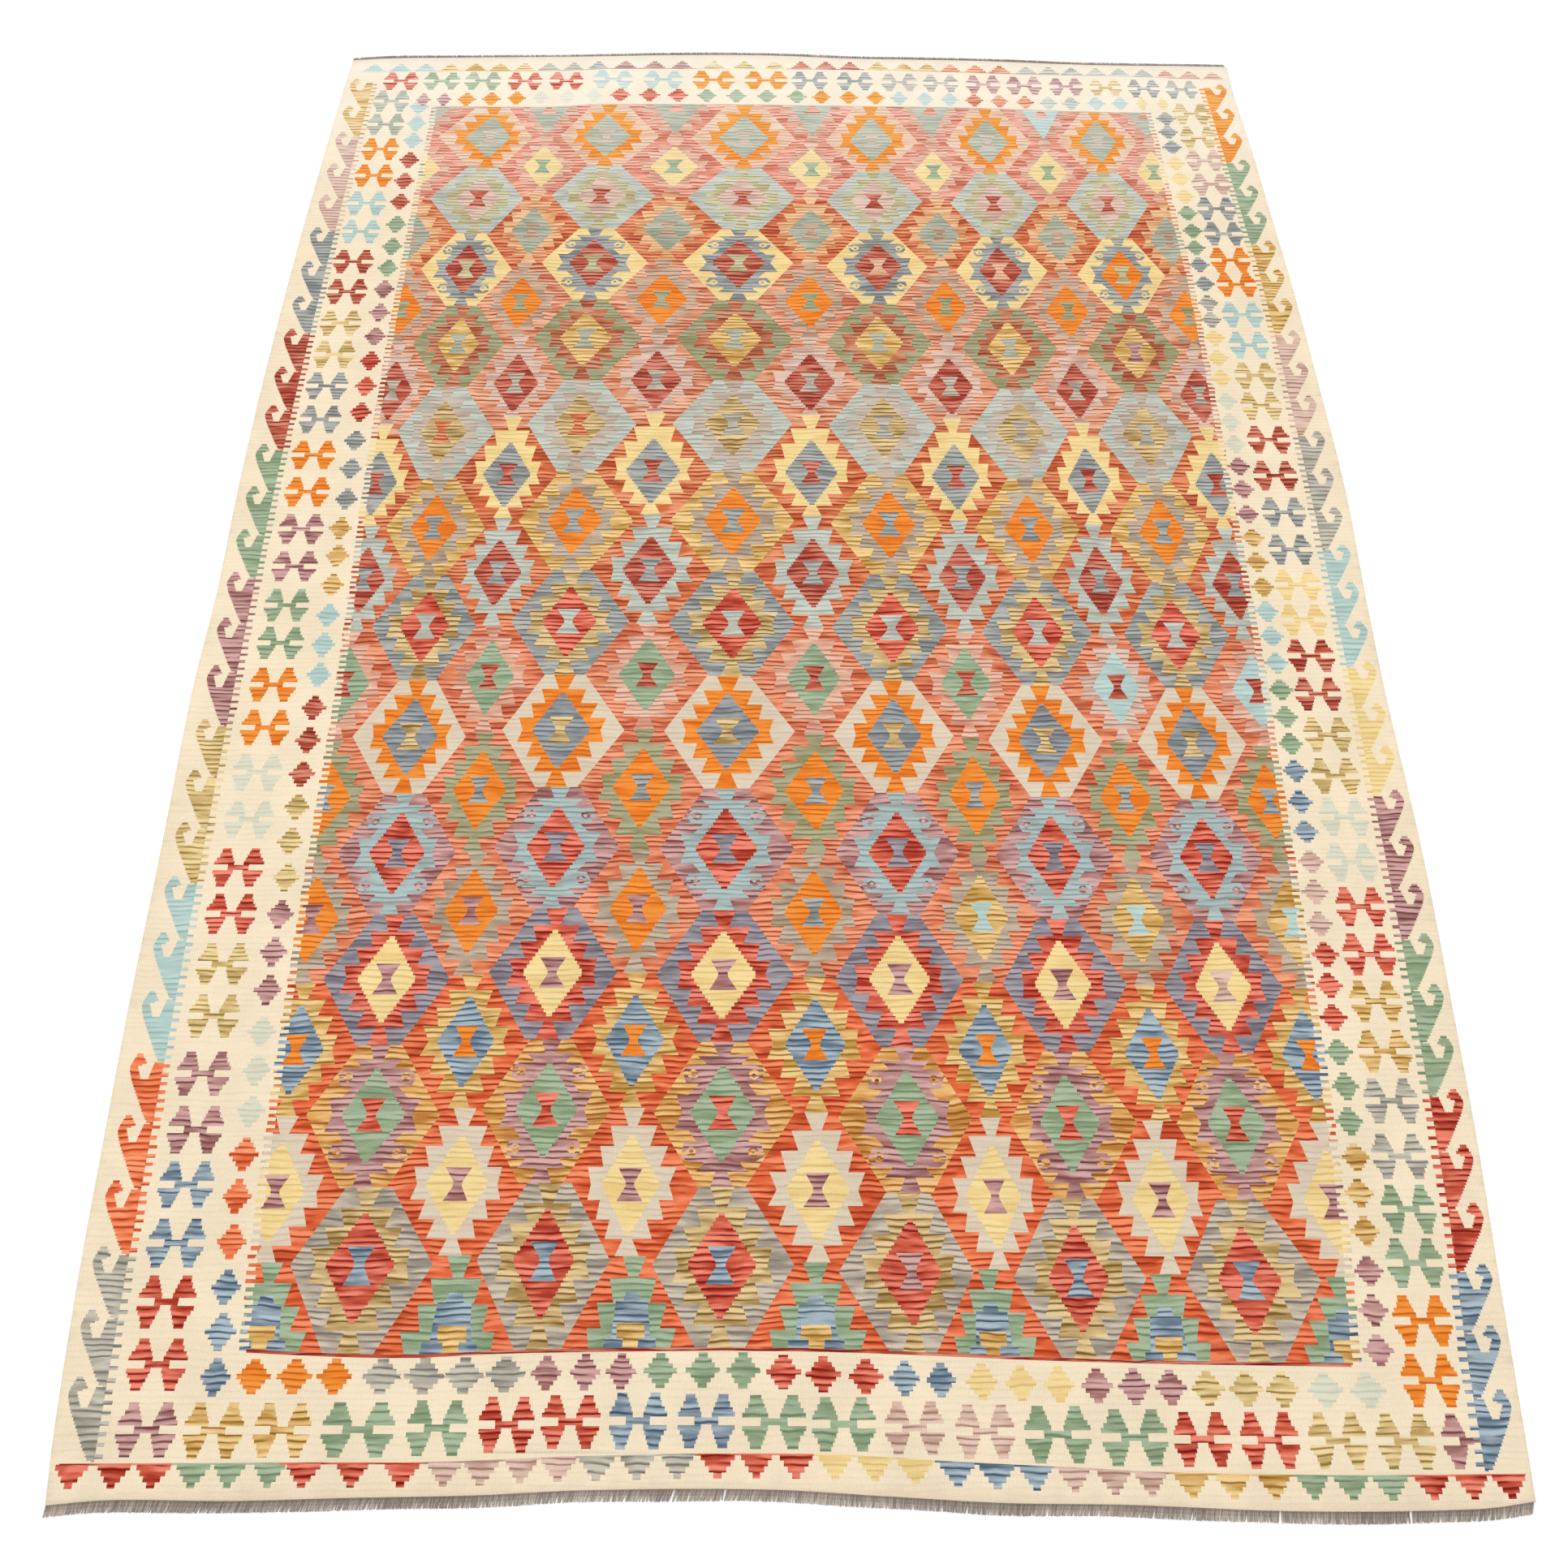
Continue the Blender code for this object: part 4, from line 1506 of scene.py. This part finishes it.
def kilim_wool_material(wool, weave_group, painted_ridges_and_lots):
    """Dyed weft-faced wool: each colour area's own yarn, with streaks, weave and hairs, painted shade in
    the lines and grooves, and painted highlights on the crests.
    """
    material, tree, shader = new_material("kilim_wool")
    place = object_place(tree)
    yarn, deep, pale = (attribute(tree, name) for name in ("yarn", "deep_yarn_and_shade", "pale_yarn_and_highlight"))
    streaks = use_group(tree, painted_ridges_and_lots, Vector=place, Lot=yarn["Alpha"], Line_Pitch=LINE_PITCH,
                        Band_Depth=BAND_DEPTH)
    hairs = use_group(tree, wool, Vector=place, Hair_Scale=HAIR_SCALE)
    ribs = use_group(tree, weave_group, Vector=place, Warp_Pitch=WARP_PITCH, Bead_Length=BEAD_LENGTH)
    strength = deep["Alpha"]
    # Painted shade: the lines under the crests, with the darker bands of other dye batches, mix the yarn
    # towards its darker colour.
    dark = total(tree, streaks["Lines"], product(tree, streaks["Dark Bands"], BAND_SHARE), clamp=True)
    colour = blended(tree, product(tree, dark, strength), yarn["Color"], deep["Color"])
    # Painted highlight: the crests, with the paler bands of other dye batches, mix the yarn towards its
    # paler colour.
    light = total(tree, product(tree, streaks["Crests"], CREST_HIGHLIGHT_SHARE),
                  product(tree, streaks["Pale Bands"], BAND_SHARE), clamp=True)
    light = product(tree, light, maths(tree, "SUBTRACT", 1.0, dark))
    colour = blended(tree, product(tree, light, strength), colour, pale["Color"])
    shade = total(tree, product(tree, hairs["Shade"], HAIR_SHADE), 1.0)
    # Painted shade in the grooves between the ribs.
    shade = maths(tree, "SUBTRACT", shade, product(tree, ribs["Groove"], PAINTED_GROOVE_SHADE))
    # Painted shade: the lines are darkened once more.
    painted_line_shade = product(tree, product(tree, streaks["Lines"], strength), PAINTED_LINE_SHADE)
    colour = shaded(tree, colour, maths(tree, "SUBTRACT", shade, painted_line_shade))
    # Painted light: the colour is made paler towards the far end.
    along = split_vector(tree, place)[1]
    far_end_lightened = add_node(tree, "ShaderNodeGamma")
    feed(tree, far_end_lightened, Color=colour, Gamma=ranged(tree, along, PAINTED_LIGHT_START, PAINTED_LIGHT_END, 1.0, PAINTED_LIGHT_GAMMA))
    swell = product(tree, maths(tree, "SUBTRACT", streaks["Crests"], streaks["Lines"]), strength)
    height = total(tree, ribs["Height"], product(tree, hairs["Height"], HAIR_HEIGHT))
    height = total(tree, height, product(tree, swell, SWELL_HEIGHT))
    feed(tree, shader, Base_Color=far_end_lightened.outputs["Color"], Normal=bumped(tree, height, CLOTH_RELIEF),
         Roughness=0.92, Specular_IOR_Level=0.12, Sheen_Weight=0.10, Sheen_Roughness=0.55)
    return material


def warp_ends_material(wool):
    """Undyed grey-brown warp yarn, cut short."""
    material, tree, shader = new_material("warp_ends")
    hairs = use_group(tree, wool, Vector=object_place(tree), Hair_Scale=WARP_HAIR_SCALE)
    shade = total(tree, product(tree, hairs["Shade"], WARP_HAIR_SHADE), 1.0)
    colour = shaded(tree, attribute(tree, "yarn")["Color"], shade)
    feed(tree, shader, Base_Color=colour, Normal=bumped(tree, hairs["Height"], WARP_RELIEF),
         Roughness=0.9, Specular_IOR_Level=0.15, Sheen_Weight=0.15, Sheen_Roughness=0.5)
    return material


def floor_material():
    """Plain matt white floor with the faintest mottle."""
    material, tree, shader = new_material("studio_floor")
    mottle = cloud(tree, object_place(tree), FLOOR_MOTTLE_SCALE)
    colour = blended(tree, mottle, FLOOR_DULL, FLOOR_BRIGHT)
    feed(tree, shader, Base_Color=colour, Roughness=0.9, Specular_IOR_Level=0.1)
    return material


# -------------------- pieces and stage
def new_piece(mesh, material, node):
    """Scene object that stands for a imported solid."""
    piece = bpy.data.objects.new(mesh.name, mesh)
    bpy.context.collection.objects.link(piece)
    mesh.materials.append(material)
    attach(piece, "root")
    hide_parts(node)
    return piece


# Floor: half its side, and how far it lies under the rug, in metres.
FLOOR_HALF = 30.0
FLOOR_DROP = 0.0002
FLOOR_MOTTLE_SCALE = 1.5
FLOOR_DULL = (0.975, 0.975, 0.975, 1.0)
FLOOR_BRIGHT = (0.99, 0.99, 0.99, 1.0)


def build_floor():
    """Wide pale floor under the rug."""
    corners = [(x * FLOOR_HALF, y * FLOOR_HALF) for x, y in ((-1, -1), (1, -1), (1, 1), (-1, 1))]
    mesh = bpy.data.meshes.new("floor")
    mesh.from_pydata([(x, y, -FLOOR_DROP) for x, y in corners], [], [(0, 1, 2, 3)])
    mesh.materials.append(floor_material())
    floor = bpy.data.objects.new("floor", mesh)
    bpy.context.collection.objects.link(floor)
    return floor


# Camera: seen from the near end, looking down on the rug, with its sensor's width in millimetres.
CAMERA_PLACE = (-0.0335, -1.632, 2.2607)
CAMERA_TILT = 61.288
CAMERA_YAW = 0.777
CAMERA_ROLL = 0.928
FOCAL_PIXELS = 1873.2
IMAGE_PIXELS = 1932
SENSOR_WIDTH = 36.0

# Light: side and place of the lamp in metres, its power in watts, and strength of the white around.
LAMP_SIZE = 7.0
LAMP_PLACE = (-0.3, 0.6, 5.0)
LAMP_POWER = 215.0
SKY_STRENGTH = 0.62


def build_camera():
    """Camera at the photograph's viewing angle."""
    tilt, yaw, roll = (math.radians(a) for a in (CAMERA_TILT, CAMERA_YAW, CAMERA_ROLL))
    forward = Vector((math.sin(yaw) * math.cos(tilt), math.cos(yaw) * math.cos(tilt), -math.sin(tilt)))
    right = forward.cross(Vector((0, 0, 1))).normalized()
    up = right.cross(forward)
    rolled_right = right * math.cos(roll) + up * math.sin(roll)
    rolled_up = up * math.cos(roll) - right * math.sin(roll)
    data = bpy.data.cameras.new("camera")
    data.sensor_width = SENSOR_WIDTH
    data.lens = FOCAL_PIXELS / IMAGE_PIXELS * SENSOR_WIDTH
    camera = bpy.data.objects.new("camera", data)
    matrix = Matrix((rolled_right, rolled_up, -forward)).transposed().to_4x4()
    matrix.translation = CAMERA_PLACE
    camera.matrix_world = matrix
    bpy.context.collection.objects.link(camera)
    bpy.context.scene.camera = camera


def build_light():
    """Even white surroundings and one very wide soft lamp above the far half."""
    world = bpy.data.worlds.new("studio")
    world.use_nodes = True
    background = next(n for n in world.node_tree.nodes if n.type == "BACKGROUND")
    background.inputs["Color"].default_value = (1.0, 1.0, 1.0, 1.0)
    background.inputs["Strength"].default_value = SKY_STRENGTH
    bpy.context.scene.world = world
    data = bpy.data.lights.new("soft_lamp", "AREA")
    data.shape = "SQUARE"
    data.size = LAMP_SIZE
    data.energy = LAMP_POWER
    lamp = bpy.data.objects.new("soft_lamp", data)
    lamp.location = LAMP_PLACE
    bpy.context.collection.objects.link(lamp)
    bpy.context.scene.view_settings.view_transform = "Standard"


def build_rug():
    """The cloth and its two rows of warp ends."""
    wool = spun_wool_group()
    wool_cloth = kilim_wool_material(wool, weft_faced_group(), painted_ridges_and_lots_group())
    warp_yarn = warp_ends_material(wool)
    cloth = new_piece(kilim_mesh(), wool_cloth, "kilim")
    near_mesh = warp_ends("near_warp_ends", NEAR, -1, NEAR_LENGTH, NEAR_GAPS)
    near = new_piece(near_mesh, warp_yarn, "fringe_near")
    far_mesh = warp_ends("far_warp_ends", FAR, 1, FAR_LENGTH, ())
    far = new_piece(far_mesh, warp_yarn, "fringe_far")
    return cloth, near, far


floor = build_floor()
cloth, near_ends, far_ends = build_rug()
build_camera()
build_light()
